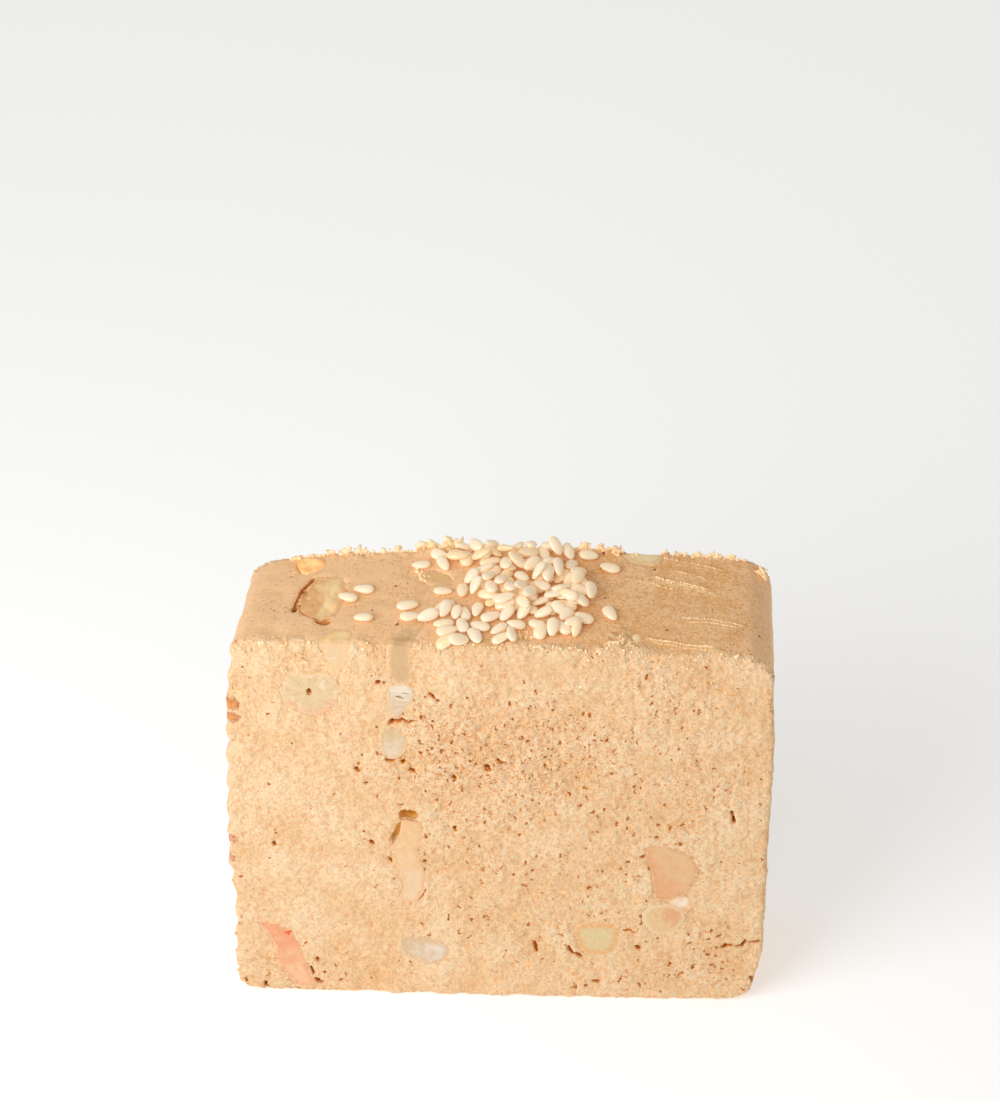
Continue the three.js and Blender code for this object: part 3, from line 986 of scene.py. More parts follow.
@dataclass
class HalvaBody:
    """The slice of halva: crumbly sawn faces, and a smooth skin on the top and ends."""

    voxel: float = 0.22  # mm, the finest shape that the mesh holds
    triangles: int = 196_000
    granule: float = 0.8  # mm across the larger granules
    granule_height: float = 0.27
    pit_size: float = 0.92
    pit_depth: float = 0.55
    bumps: tuple[Bumps, ...] = each(
        Bumps, (6.0, 0.3, Ground.ALL), (2.8, 0.3, Ground.SAWN, 2.0), (1.7, 0.26, Ground.SAWN, 2.0),
        (0.9, 0.26, Ground.SAWN, 3.0, (1.0, 1.0, 1.8)), (1.2, 0.08, Ground.SKIN, 1.0, (3.0, 1.0, 1.0)),
        (2.8, 0.2, Ground.SKIN),
    )
    scallop: Point = (5.0, 0.28)  # mm between the waves down the left end, and their height
    spills: tuple[Spill, ...] = each(
        Spill, (-22.5, 10.0, 4.5, 0.8, 0.5), (-9.6, 10.0, 3.8, 1.0, 0.8), (1.0, 10.1, 5.0, 0.6, 0.4),
        (11.6, 10.0, 4.6, 0.9, 0.7), (18.4, 9.9, 2.6, 1.0, 0.8), (28.0, 10.0, 6.0, 0.6, 0.4),
        (16.3, -8.7, 2.5, 2.3, 0.45), (14.2, -9.9, 1.6, 0.9), (1.6, -9.2, 2.8, 1.5, 0.25),
        (-3.0, -10.0, 4.0, 0.8, 0.2), (8.0, -10.0, 4.0, 0.7, 0.2), (-30.0, -10.0, 3.0, 0.9, 0.1),
        (26.0, -10.1, 5.0, 0.6, 0.1),
    )
    patches: tuple[Patch, ...] = each(
        Patch, (-3, 47, 17, 15, 1.0), (22, 48, 20, 22, 0.5), (-8, 30, 12, 8, 0.5),
        (10, 20, 26, 14, 0.35), (-28, 4, 12, 6, 0.7), (28, 6, 12, 6, 0.5),
    )
    marks: tuple[Mark, ...] = CRACKS + SMEARS
    creases: int = 30  # short cracks low on the front
    seed: int = 17

    FADE = 1.3  # times a patch's size at which its open crumb ends
    SPILL_Z = 68.7  # mm, the level of the spills' middles
    LEVELS = {Face.FRONT: 9.4, Face.TOP: 67.5}  # mm from the origin, the least for a mark

    def richness(self, x: float, z: float) -> float:
        """Tells how open the crumb is at a place on the sawn faces.

        Args:
            x: The place along X, in mm.
            z: Its height, in mm.

        Returns:
            0 where it is close to 1 where it is open.
        """
        total = 0.0
        for patch in self.patches:
            away = hypot((x - patch.x) / patch.wide, (z - patch.z) / patch.tall)
            total += patch.amount * max(0.0, 1 - away / self.FADE)
        return min(1.0, total)

    def build(self, material: Material) -> Object:
        """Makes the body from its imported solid.

        Args:
            material: The halva's material.

        Returns:
            The finished body.
        """
        body = welded_copy("halva_block", "halva")
        self.beds = NutBeds()
        self.beds.fill(body)
        marks = self.mark_points(SurfaceProbe(body))
        even_out(body, self.voxel)
        self.relief(body, marks, material)
        thin_out(body, self.triangles)
        bpy.data.objects.remove(marks)
        hand_over(body, material, "halva", "halva_block")
        return body

    def creased(self) -> list[Mark]:
        """Makes short slanting cracks between the lumps low on the front face.

        Returns:
            The cracks, the more of them the opener the crumb.
        """
        chance = random.Random(self.seed)
        marks = []
        while len(marks) < self.creases:
            x, z = chance.uniform(-36, 36), chance.uniform(1, 17)
            if chance.random() > 0.15 + self.richness(x, z):
                continue
            way = chance.gauss(0, 0.9)
            path = [(x, z)]
            for _ in range(2):
                x += 0.5 * cos(way)
                z += 0.5 * sin(way)
                path.append((x, z))
                way += chance.uniform(-0.9, 0.9)
            marks.append(front(tuple(path), chance.uniform(0.08, 0.16), chance.uniform(0.12, 0.35)))
        return marks

    def mark_points(self, probe: SurfaceProbe) -> Object:
        """Lays close points along every mark, on the block's surface.

        Args:
            probe: Finds that surface.

        Returns:
            An object of points with the attributes reach, depth and ragged.
        """
        step = 0.08  # mm between points
        rows = []
        for mark in (*self.marks, *self.creased()):
            ends = list(zip(mark.path, mark.path[1:])) or [(mark.path[0], mark.path[0])]
            for (u0, v0), (u1, v1) in ends:
                count = max(1, round(dist((u0, v0), (u1, v1)) / step))
                for i in range(count + 1):
                    t = i / count
                    point = probe.touch(mark.face, u0 + (u1 - u0) * t, v0 + (v1 - v0) * t)
                    if point is not None:
                        out = Vector(mark.face.value)
                        point += out * max(0.0, self.LEVELS[mark.face] - point.dot(out))
                        rows.append((point * MM, mark.reach, mark.depth, mark.ragged))
        places, *looks = zip(*rows)
        mesh = bpy.data.meshes.new("marks")
        mesh.from_pydata(places, [], [])
        for name, values in zip(("reach", "depth", "ragged"), looks):
            mesh.attributes.new(name, "FLOAT", "POINT").data.foreach_set("value", values)
        marks = new_object("marks", mesh)
        marks.hide_render = True
        return marks

    def relief(self, body: Object, marks: Object, material: Material) -> None:
        """Raises the granules and lumps, and sinks the pits and cracks.

        Args:
            body: The even grid of the block.
            marks: The points along the marks.
            material: The halva's material.
        """
        shape = self.shape = ShapeTree(
            "halva relief", granule_size=self.granule, granule_height=self.granule_height,
            pit_size=self.pit_size, pit_depth=self.pit_depth, block=frame["nodes"]["halva_block"],
            marks=marks, plugs=self.beds.plugs,
        )
        add = shape.add
        place = self.place = shape.mm()
        axes = add("ShaderNodeSeparateXYZ", [place])
        below = self.below_hull()
        spilt, height = self.spilt()
        sawn = self.sawn_share(axes, below)
        sawn = add(LARGER, [sawn, spilt])
        skin = add(MINUS, [1.0, sawn])
        shares = {Ground.SAWN: sawn, Ground.SKIN: skin}
        height = add(PLUS, [height, self.scalloped(axes)])
        for bumps in self.bumps:
            where = add(EACH_OVER, [place, bumps.stretch])
            swing = add(NOISE, {"Vector": where, "Scale": 1 / bumps.size, "Detail": bumps.detail})
            swing = add(MINUS, [swing, 0.5])
            swing = add(TIMES, [swing, 2 * bumps.height])
            height = add(TIMES_PLUS, [swing, shares.get(bumps.ground, 1.0), height])

        openness = self.openness()
        granules = self.granules()
        rough = add(MAP_RANGE, [openness, 0.0, 1.0, 0.55, 1.0])
        rough = add(TIMES, [rough, sawn])
        granules = add(TIMES, [granules, rough])
        height = add(PLUS, [granules, height])

        # low marks where the granules sink, for painted shade in the creases between them
        low = add(MAP_RANGE, [granules, -0.01, -0.17])
        calm = self.calm()
        height = add(TIMES, [height, calm])
        here = add(TIMES, [calm, sawn])
        pits = self.pits(openness)
        pit, pit_shade = (add(TIMES, [part, here]) for part in pits)
        fall = add(TIMES, [shape.value("Pit depth"), -1.0])
        height = add(TIMES_PLUS, [pit, fall, height])
        dug, raised, mark_shade = self.marked()
        height = add(MINUS, [height, dug])
        height = add(PLUS, [height, raised])

        normal = add("GeometryNodeInputNormal")
        metres = add(TIMES, [height, MM])
        offset = add(SCALED, {0: normal, "Scale": metres})
        # dark is the painted shade in the pits and cracks, which the finish reads as pit
        dark = add(LARGER, [pit_shade, mark_shade])
        # deep marks the cavities for painted shade: their amber glow
        deep = add(MAP_RANGE, [below, 0.7, 1.6])
        pale = add(TIMES, [raised, 9.0], use_clamp=True)
        looks = {"sawn": sawn, "low": low, "pit": dark, "deep": deep, "smear": pale, "open": openness}
        shape.run(body, self.stand_flat(shape.moved(offset, **looks)), material)

    def calm(self) -> Node:
        """Keeps the surface smooth round the nuts.

        Returns:
            0 on and beside the nuts and 1 away from them.
        """
        plugs = self.shape.add("GeometryNodeObjectInfo", {"Object": self.shape.value("Plugs")})
        near = self.shape.add("GeometryNodeProximity", [plugs.outputs["Geometry"]], target_element="FACES")
        return self.shape.add(MAP_RANGE, [near.outputs["Distance"], 0.05 * MM, 0.4 * MM], **SMOOTH)

    def stand_flat(self, moved: Node) -> Node:
        """Keeps every point at or above the base.

        Args:
            moved: The geometry with its relief.

        Returns:
            The geometry, flat underneath.
        """
        axes = self.shape.add("ShaderNodeSeparateXYZ", [self.shape.add("GeometryNodeInputPosition")])
        level = self.shape.add(LARGER, [axes.outputs["Z"], 0.0])
        place = self.shape.add(
            "ShaderNodeCombineXYZ", {"X": axes.outputs["X"], "Y": axes.outputs["Y"], "Z": level}
        )
        return self.shape.add("GeometryNodeSetPosition", {"Geometry": moved, "Position": place})

    def below_hull(self) -> Node:
        """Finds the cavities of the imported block.

        Returns:
            How far each point lies inside the block's outline, in mm.
        """
        block = self.shape.add("GeometryNodeObjectInfo", {"Object": self.shape.value("Block")})
        hull = self.shape.add("GeometryNodeConvexHull", [block.outputs["Geometry"]])
        near = self.shape.add("GeometryNodeProximity", [hull], target_element="FACES")
        return self.shape.add(TIMES, [near.outputs["Distance"], 1 / MM])

    def scalloped(self, axes: Node) -> Node:
        """Makes the waves that the mould left down the left end.

        Args:
            axes: The parts of each point's position, in mm.

        Returns:
            The waves' height, in mm.
        """
        gap, high = self.scallop
        turn = self.shape.add(TIMES, [axes.outputs["Z"], tau / gap])
        wave = self.shape.add(SINE, [turn])
        end = self.shape.add(MAP_RANGE, [axes.outputs["X"], -37.0, -38.0, 0.0, high])
        return self.shape.add(TIMES, [wave, end])

    def spilt(self) -> tuple[Node, Node]:
        """Adds up the spills of crumb.

        Returns:
            The share of spilt crumb at each point, and how high it lies in mm.
        """
        add = self.shape.add
        rag = add(NOISE, {"Vector": self.place, "Scale": 1 / 1.1, "Detail": 4.0, "Roughness": 0.7})
        rag = add(MINUS, [rag, 0.5])
        share = high = 0.0
        for spill in self.spills:
            middle = Vector((spill.x, spill.y, self.SPILL_Z))
            away = add(EACH_MINUS, [self.place, middle])
            oval = (1 / spill.wide, 1 / spill.deep, 1 / 3.0)
            away = add(EACH_TIMES, [away, oval])
            away = add(LENGTH, [away])
            away = add(TIMES_PLUS, [rag, 3.5, away])
            near = add(MAP_RANGE, [away, 1.05, 0.95])
            share = add(LARGER, [share, near])
            slope = add(MAP_RANGE, [away, 1.05, 0.3, 0.0, spill.high])
            high = add(LARGER, [high, slope])
        return share, high

    def sawn_share(self, axes: Node, below: Node) -> Node:
        """Tells sawn and broken surface (1) from skin (0), with a ragged border.

        Args:
            axes: The parts of each point's position, in mm.
            below: How far inside the block's outline, in mm.

        Returns:
            The share of sawn surface at each point.
        """
        add = self.shape.add
        inside = add(MAP_RANGE, [below, 0.7, 1.2])
        rag = add(NOISE, {"Vector": self.place, "Scale": 1 / 1.2, "Detail": 4.0, "Roughness": 0.7})
        out = add(UNSIGNED, [axes.outputs["Y"]])
        rag = add(MINUS, [rag, 0.5])
        out = add(TIMES_PLUS, [rag, 7.0, out])
        face = add(MAP_RANGE, [out, 9.5, 9.65])
        return add(LARGER, [inside, face])

    def openness(self) -> Node:
        """Adds up the patches of open crumb.

        Returns:
            A share from 0 to 1.
        """
        add = self.shape.add
        total = add(NOISE, {"Vector": self.place, "Scale": 1 / 8.0, "Detail": 1.0})
        total = add(MINUS, [total, 0.5])
        for patch in self.patches:
            away = add(EACH_MINUS, [self.place, (patch.x, 0.0, patch.z)])
            oval = (1 / patch.wide, 0.0, 1 / patch.tall)
            away = add(EACH_TIMES, [away, oval])
            away = add(LENGTH, [away])
            near = add(MAP_RANGE, [away, 1.25, 0.3], **SMOOTH)
            total = add(TIMES_PLUS, [near, patch.amount, total])
        return add("ShaderNodeClamp", {"Value": total})

    def granules(self) -> Node:
        """Heaps up granules: rounded cells of two sizes with creases between them.

        Returns:
            Their height, in mm.
        """
        add = self.shape.add
        warp = add(NOISE, {"Vector": self.place, "Scale": 1.3, "Detail": 1.0})
        warped = add(EACH_PLUS, [warp.outputs["Color"], self.place])
        total = 0.0
        for part, share in ((1.0, 0.65), (0.62, 0.45)):
            size = add(TIMES, [self.shape.value("Granule size"), part])
            scale = add(OVER, [1.0, size])
            cells = add(CELLS, {"Vector": warped, "Scale": scale, "Smoothness": 0.35}, feature="SMOOTH_F1")
            dome = add(MINUS, [0.4, cells])
            total = add(TIMES_PLUS, [dome, share, total])
        double = add(TIMES, [self.shape.value("Granule height"), 2.0])
        return add(TIMES, [total, double])

    def pits(self, openness: Node) -> tuple:
        """Opens small ragged pits, the more the opener the crumb.

        Args:
            openness: The share of open crumb.

        Returns:
            The share of full depth at each point, and the share of painted shade there.
        """
        add = self.shape.add
        scale = add(OVER, [1.0, self.shape.value("Pit size")])
        grain = add(NOISE, {"Vector": self.place, "Scale": scale, "Detail": 4.0, "Roughness": 0.7})
        brim = add(MAP_RANGE, [openness, 0.0, 1.0, 0.24, 0.314])
        floor = add(MINUS, [brim, 0.05])
        shore = add(PLUS, [brim, 0.02])
        depth = add(MAP_RANGE, [grain, brim, floor], **SMOOTH)
        return depth, add(MAP_RANGE, [grain, shore, floor])

    def marked(self) -> tuple:
        """Reads the marks near each point.

        Returns:
            How deep a crack goes there and how high a ridge rises, both in mm, and the share of
            painted shade in and round the crack.
        """
        add = self.shape.add
        marks = add("GeometryNodeObjectInfo", {"Object": self.shape.value("Marks")}).outputs["Geometry"]
        near = add("GeometryNodeProximity", [marks], target_element="POINTS")
        index = add("GeometryNodeSampleNearest", [marks], domain="POINT")
        sampled = []
        for name in ("reach", "depth", "ragged"):
            read = add("GeometryNodeInputNamedAttribute", {"Name": name}, data_type="FLOAT")
            links = {0: marks, "Value": read.outputs["Attribute"], "Index": index}
            sampled.append(add("GeometryNodeSampleIndex", links, data_type="FLOAT"))
        reach, depth, fray = sampled
        ragged = add(NOISE, {"Vector": self.place, "Scale": 1 / 0.6, "Detail": 4.0, "Roughness": 0.7})
        ragged = add(MINUS, [ragged, 0.5])
        away = add(TIMES, [near.outputs["Distance"], 1 / MM])
        away = add(OVER, [away, reach])
        away = add(TIMES_PLUS, [ragged, fray, away])
        near = add(MAP_RANGE, [away, 1.0, 0.3], **SMOOTH)
        signed = add(TIMES, [near, depth])
        dug = add(LARGER, [signed, 0.0])
        raised = add(TIMES, [signed, -1.0])
        raised = add(LARGER, [raised, 0.0])
        pit_shade = add(MAP_RANGE, [away, 1.1, 0.4])
        sinks = add(ABOVE, [depth, 0.0])
        return dug, raised, add(TIMES, [pit_shade, sinks])


@dataclass
class NutBeds:
    """Fillings for the nuts' pockets, a little below the halva's surface."""

    grow: float = 0.36  # mm sideways, a little more than the solids' clearance
    uneven: float = 0.3  # mm that crumbs reach over the nuts' edges
    below: float = 0.22  # mm between the halva's surface and the filling

    def __post_init__(self) -> None:
        """Makes the fillings from the nuts' solids."""
        shape = bmesh.new()
        for piece in NUTS:
            part = welded(piece.node)
            part.normal_update()
            out = sum((Vector(face.value) for face in piece.faces), Vector())
            for vert in part.verts:
                frayed = self.uneven * max(0.0, noise.noise(vert.co / MM * 0.9) - 0.05) * 2.5
                spread = (self.grow - frayed) * (1 - max(0.0, vert.normal.dot(Vector(piece.gap))))
                vert.co += (vert.normal * spread - out * (self.grow + self.below)) * MM
            mesh = closed_mesh(part, "plug")
            shape.from_mesh(mesh)
            bpy.data.meshes.remove(mesh)
        self.plugs = new_object("plugs", closed_mesh(shape, "plugs"))
        self.plugs.hide_render = True

    def fill(self, body: Object) -> None:
        """Adds the fillings to the block's mesh.

        Args:
            body: The block.
        """
        shape = bmesh.new()
        shape.from_mesh(body.data)
        shape.from_mesh(self.plugs.data)
        shape.to_mesh(body.data)
        shape.free()


# ---- peanut pieces


@dataclass(frozen=True)
class Dent:
    """A round dimple in a piece of nut, or a swelling where its depth is below 0."""

    x: float
    y: float
    z: float
    reach: float  # mm
    depth: float  # mm


@dataclass(frozen=True)
class NutPiece:
    """One piece of peanut that lies open in a face of the halva."""

    node: str
    slot: str
    finish: PeanutFinish
    faces: tuple[Face, ...] = (Face.FRONT,)
    sink: float = 0.05  # mm below the halva round it
    ripple_size: float = 1.8  # mm
    ripple: float = 0.12  # mm
    stretch: Triple = (1.0, 1.0, 1.0)
    gap: Triple = (0.0, 0.0, 0.0)  # side on which the halva stands off
    eye: Triple = (0.0, 0.0, -99.0)  # mm, the opening in a kernel's middle
    dents: tuple[Dent, ...] = ()

    VOXEL = 0.15  # mm
    GROW = 0.52  # mm sideways into the halva, which closes the gap that the solids keep
    TRIANGLES = 9_000
    EYE_WALL = (1.6, 2.4)  # mm from the eye's middle, inside which the wall keeps its place

    def build(self) -> None:
        """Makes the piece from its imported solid."""
        obj = welded_copy(self.node, "peanut_" + self.node)
        even_out(obj, self.VOXEL)
        low, high = (Vector(corner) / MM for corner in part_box(self.node))
        material = self.finish.build(low, high)
        self.swell(obj, material)
        thin_out(obj, self.TRIANGLES)
        hand_over(obj, material, self.slot, self.node)

    def swell(self, obj: Object, material: Material) -> None:
        """Grows the piece into the halva round it, and ripples its open face.

        Args:
            obj: The even grid of the piece.
            material: The piece's material.
        """
        first = self.faces[0].value
        second = self.faces[1].value if len(self.faces) > 1 else first
        shape = ShapeTree(
            "peanut swell", grow=self.GROW, sink=self.sink, ripple_size=self.ripple_size,
            ripple_height=self.ripple, first_face=first, second_face=second, gap_side=self.gap,
            eye_middle=self.eye,
        )
        add = shape.add
        normal = add("GeometryNodeInputNormal")
        growth = normal
        openings = []
        for key in ("First face", "Second face"):
            facing = add(DOT, [normal, shape.value(key)])
            openings.append(facing)
            outward = add(LARGER, [facing, 0.0])
            outward = add(SCALED, {0: shape.value(key), "Scale": outward})
            growth = add(EACH_MINUS, [growth, outward])
        if first == second:  # its one face was taken away twice
            growth = add(EACH_PLUS, [growth, outward])
        facing = add(LARGER, [openings[0], openings[1]])
        is_open = add(MAP_RANGE, [facing, 0.55, 0.9], **SMOOTH)
        metres = add(TIMES, [shape.value("Grow"), MM])
        away = add(DISTANCE, [shape.mm(), shape.value("Eye middle")])
        by_eye = add(BELOW, [away, self.EYE_WALL[1]])
        sunk = add(EACH_MINUS, [shape.value("Eye middle"), shape.mm()])
        sunk = add(DOT, [sunk, shape.value("First face")])
        sunk = add(ABOVE, [sunk, 0.15])
        least, most = self.EYE_WALL
        away = add(MAP_RANGE, [away, least, most, 0.1])
        metres = add(TIMES, [metres, away])
        toward = add(DOT, [normal, shape.value("Gap side")])
        held = add(MAP_RANGE, [toward, 0.0, 1.0, 1.0, 0.0])
        metres = add(TIMES, [metres, held])
        growth = add(SCALED, {0: growth, "Scale": metres})

        place = add(EACH_OVER, [shape.mm(), self.stretch])
        scale = add(OVER, [1.0, shape.value("Ripple size")])
        swing = add(NOISE, {"Vector": place, "Scale": scale, "Detail": 2.0})
        swing = add(MINUS, [swing, 0.5])
        swing = add(TIMES, [swing, shape.value("Ripple height")])
        fall = add(TIMES, [shape.value("Sink"), -1.0])
        swing = add(TIMES_PLUS, [swing, 2.0, fall])
        for dent in self.dents:
            middle = Vector((dent.x, dent.y, dent.z))
            away = add(DISTANCE, [shape.mm(), middle])
            near = add(MAP_RANGE, [away, dent.reach, 0.0, 0.0, -dent.depth], **SMOOTH)
            swing = add(PLUS, [swing, near])
        swing = add(TIMES, [swing, is_open])
        swing = add(TIMES, [swing, MM])
        swing = add(SCALED, {0: normal, "Scale": swing})
        offset = add(EACH_PLUS, [growth, swing])

        whole = shape.value("Geometry")
        wall = add(PLUS, [is_open, by_eye])
        wall = add(BELOW, [wall, 0.5])
        walls = add("GeometryNodeSeparateGeometry", {"Geometry": whole, "Selection": wall}, domain="POINT")
        away = add("GeometryNodeProximity", [walls], target_element="POINTS")
        inset = add(TIMES, [away.outputs["Distance"], 1 / MM])
        # painted shade: the eye's sunken walls
        hollow = add(TIMES, [by_eye, sunk])
        shape.run(obj, shape.moved(offset, inset=inset, hollow=hollow), material)


NUTS = (
    NutPiece(
        "kernel_top", "nut_cream",
        PeanutFinish(
            "peanut half, broken", "e6b47c", "f4d09c", "e0a468", toward=(0.9, 0.0, 0.0),
            rough=0.16, painted_glow=0.06, seam=(-24.5, 0.0, 72.0),
        ),
        (Face.TOP,), sink=0.15, ripple_size=1.6, ripple=0.35, stretch=(1.0, 1.8, 1.0),
        gap=(-1.3, -1.0, 0.0),
        dents=each(
            Dent,
            (-26.6, 1.8, 69.0, 1.7, -0.5), (-23.5, 2.6, 69.0, 1.7, -0.6), (-23.6, -1.6, 69.0, 2.0, -0.6),
            (-27.0, -2.0, 69.0, 1.6, -0.4), (-25.6, 1.0, 69.0, 0.8, 0.7), (-25.3, 3.6, 69.0, 0.9, 0.6),
            (-24.6, -0.6, 69.0, 0.7, 0.4), (-25.4, -2.8, 69.0, 0.7, 0.4),
        ),
    ),
    NutPiece(
        "nut_amber_top", "nut_amber",
        PeanutFinish("peanut, well toasted", "ffc47c", "ffdca0", "ffac60", rough=0.18, painted_glow=0.2),
        (Face.TOP,), sink=-0.25, ripple_size=1.3, ripple=0.42, gap=(-1.0, 0.0, 0.0),
    ),
    NutPiece(
        "nut_under_skin", "nut_olive",
        PeanutFinish(
            "peanut under a veil of paste", "dcb478", "e8c88c", "dcb180", 0.9,
            rough=0.25, painted_glow=0.04, veil=0.7,
        ),
        (Face.TOP,), sink=0.04,
    ),
    NutPiece(
        "nut_flake_back", "nut_yellow",
        PeanutFinish("peanut flake, back edge", "f6dcaa", "fbe8c0", "f0cc94", veil=0.6),
        (Face.BACK, Face.TOP), sink=0.0,
    ),
    NutPiece(
        "nut_edge_middle", "nut_olive",
        PeanutFinish("peanut soaked with oil", "d2ae80", "f0cc98", "dfb68e", 0.6, (0.0, 0.9, 0.0)),
        (Face.FRONT, Face.TOP),
    ),
    NutPiece(
        "nut_edge_corner", "nut_yellow",
        PeanutFinish(
            "peanut, front edge", "e2c298", "fcd896", "e8b884", 0.5, (0.0, 0.7, 0.5),
            painted_glow=0.04, chalk=0.35, veil=0.6,
        ),
        (Face.FRONT, Face.TOP),
    ),
    NutPiece(
        "nut_fleck_edge", "nut_white",
        PeanutFinish(
            "peanut fluff, front edge", "efc8a2", "f2d4b6", "ebc094", 0.5, rough=0.8, veil=2.0, chalk=0.9,
        ),
        (Face.FRONT, Face.TOP), sink=0.1, ripple_size=0.7, ripple=0.4,
    ),
    NutPiece(
        "kernel_split", "nut_cream",
        PeanutFinish(
            "peanut kernel, sawn across", "d8b88b", "e4caa4", "e7a47f", 0.8, veil=0.6,
            rim_toward=(0.1, 0.0, -1.0), streak=Streak.RADIAL, streak_size=0.7, chalk=0.4,
        ),
        ripple_size=1.4, eye=(-27.0, -10.0, 58.9),
    ),
    NutPiece(
        "nut_fibres", "nut_white",
        PeanutFinish(
            "peanut torn to fibres", "dbc4a4", "e8dbc8", "dbbc92", 0.3, (0.0, 0.0, 0.6),
            streak=Streak.FIBRES, streak_size=0.8, rough=0.7,
        ),
        ripple_size=0.8, ripple=0.5, stretch=(6.0, 1.0, 0.7),
    ),
    NutPiece(
        "nut_wedge", "nut_cream",
        PeanutFinish("peanut wedge", "d7ba8f", "e1ccb3", "d9b488", 0.45, (0.0, 0.0, -0.8)),
    ),
    NutPiece(
        "nut_sliver_long", "nut_yellow",
        PeanutFinish("peanut sliver, long", "e9c08d", "eacca7", "e5ad7a", 0.4, (0.0, 0.0, -0.6)),
        gap=(-0.35, 0.0, 0.9),
    ),
    NutPiece(
        "nut_pale_oval", "nut_white",
        PeanutFinish("peanut slice, pale", "d9bd99", "e6d7c8", "d7b289", 0.8, (0.3, 0.0, -0.3)),
        ripple_size=1.2, ripple=0.25,
    ),
    NutPiece(
        "nut_green_square", "nut_olive", PeanutFinish("peanut germ end", "e0c494", "dccb9c", "e6a868", 1.0),
    ),
    NutPiece(
        "nut_teardrop", "nut_pink",
        PeanutFinish("peanut under inner skin", "e3bb8b", "e4ab7b", "d99c69", 0.45, (-0.5, 0.0, -0.6)),
    ),
    NutPiece(
        "nut_rose_oval", "nut_pink",
        PeanutFinish("peanut under inner skin, round", "e5c292", "e2aa7c", "e7d3ae", 0.5, (0.8, 0.0, 0.2)),
    ),
    NutPiece(
        "nut_chip_rose", "nut_white",
        PeanutFinish(
            "peanut chip, fibrous", "efd7bc", "f4e5d2", "ebcba5", 0.3,
            streak=Streak.FIBRES, streak_size=0.7, rough=0.7,
        ),
        sink=0.0, ripple=0.3,
    ),
    NutPiece(
        "nut_salmon_sliver", "nut_salmon",
        PeanutFinish("peanut sliver in pink skin", "e9a276", "edbd94", "e39a6e", 0.4, (0.0, 0.0, -0.6)),
    ),
    NutPiece("nut_chip_base", "nut_olive", PeanutFinish("peanut chip, base", "dfbf8a", "e8cc9c", "dcb480")),
    *(
        NutPiece(
            node, "nut_skin",
            PeanutFinish("papery peanut skin, " + node, "cf7c3c", "e29c5c", "b45c24", 0.35, rough=0.6),
            (Face.FRONT, Face.LEFT), sink=-0.02, ripple_size=0.6, ripple=0.5, stretch=(2.0, 2.0, 0.7),
        )
        for node in ("skin_bit_upper", "skin_bit_lower")
    ),
    *(
        NutPiece(
            node, "nut_skin",
            PeanutFinish("red peanut skin, " + node, "cc7450", "e0a07c", "b85c44", 0.3, rough=0.6),
            (Face.FRONT, Face.LEFT), sink=-0.02, ripple_size=0.7, ripple=0.2,
        )
        for node in ("red_bit_upper", "red_bit_lower")
    ),
    NutPiece(
        "back_kernel", "nut_cream",
        PeanutFinish(
            "peanut kernel, back", "e4c892", "f3e0ba", "efb78c", 0.6, streak=Streak.RADIAL, streak_size=1.0,
        ),
        (Face.BACK,), ripple=0.2,
    ),
    NutPiece(
        "back_wedge", "nut_yellow",
        PeanutFinish("peanut wedge, back", "f2d79c", "f8e6bc", "f0cfa0"), (Face.BACK,),
    ),
    NutPiece(
        "back_oval", "nut_pink",
        PeanutFinish("peanut oval, back", "eebe92", "ebaa80", "e2a878"), (Face.BACK,),
    ),
    NutPiece(
        "back_sliver", "nut_white",
        PeanutFinish("peanut sliver, back", "f0d8b8", "f8ecdc", "ecc89c"), (Face.BACK,),
    ),
)


# ---- seeds and crumbs


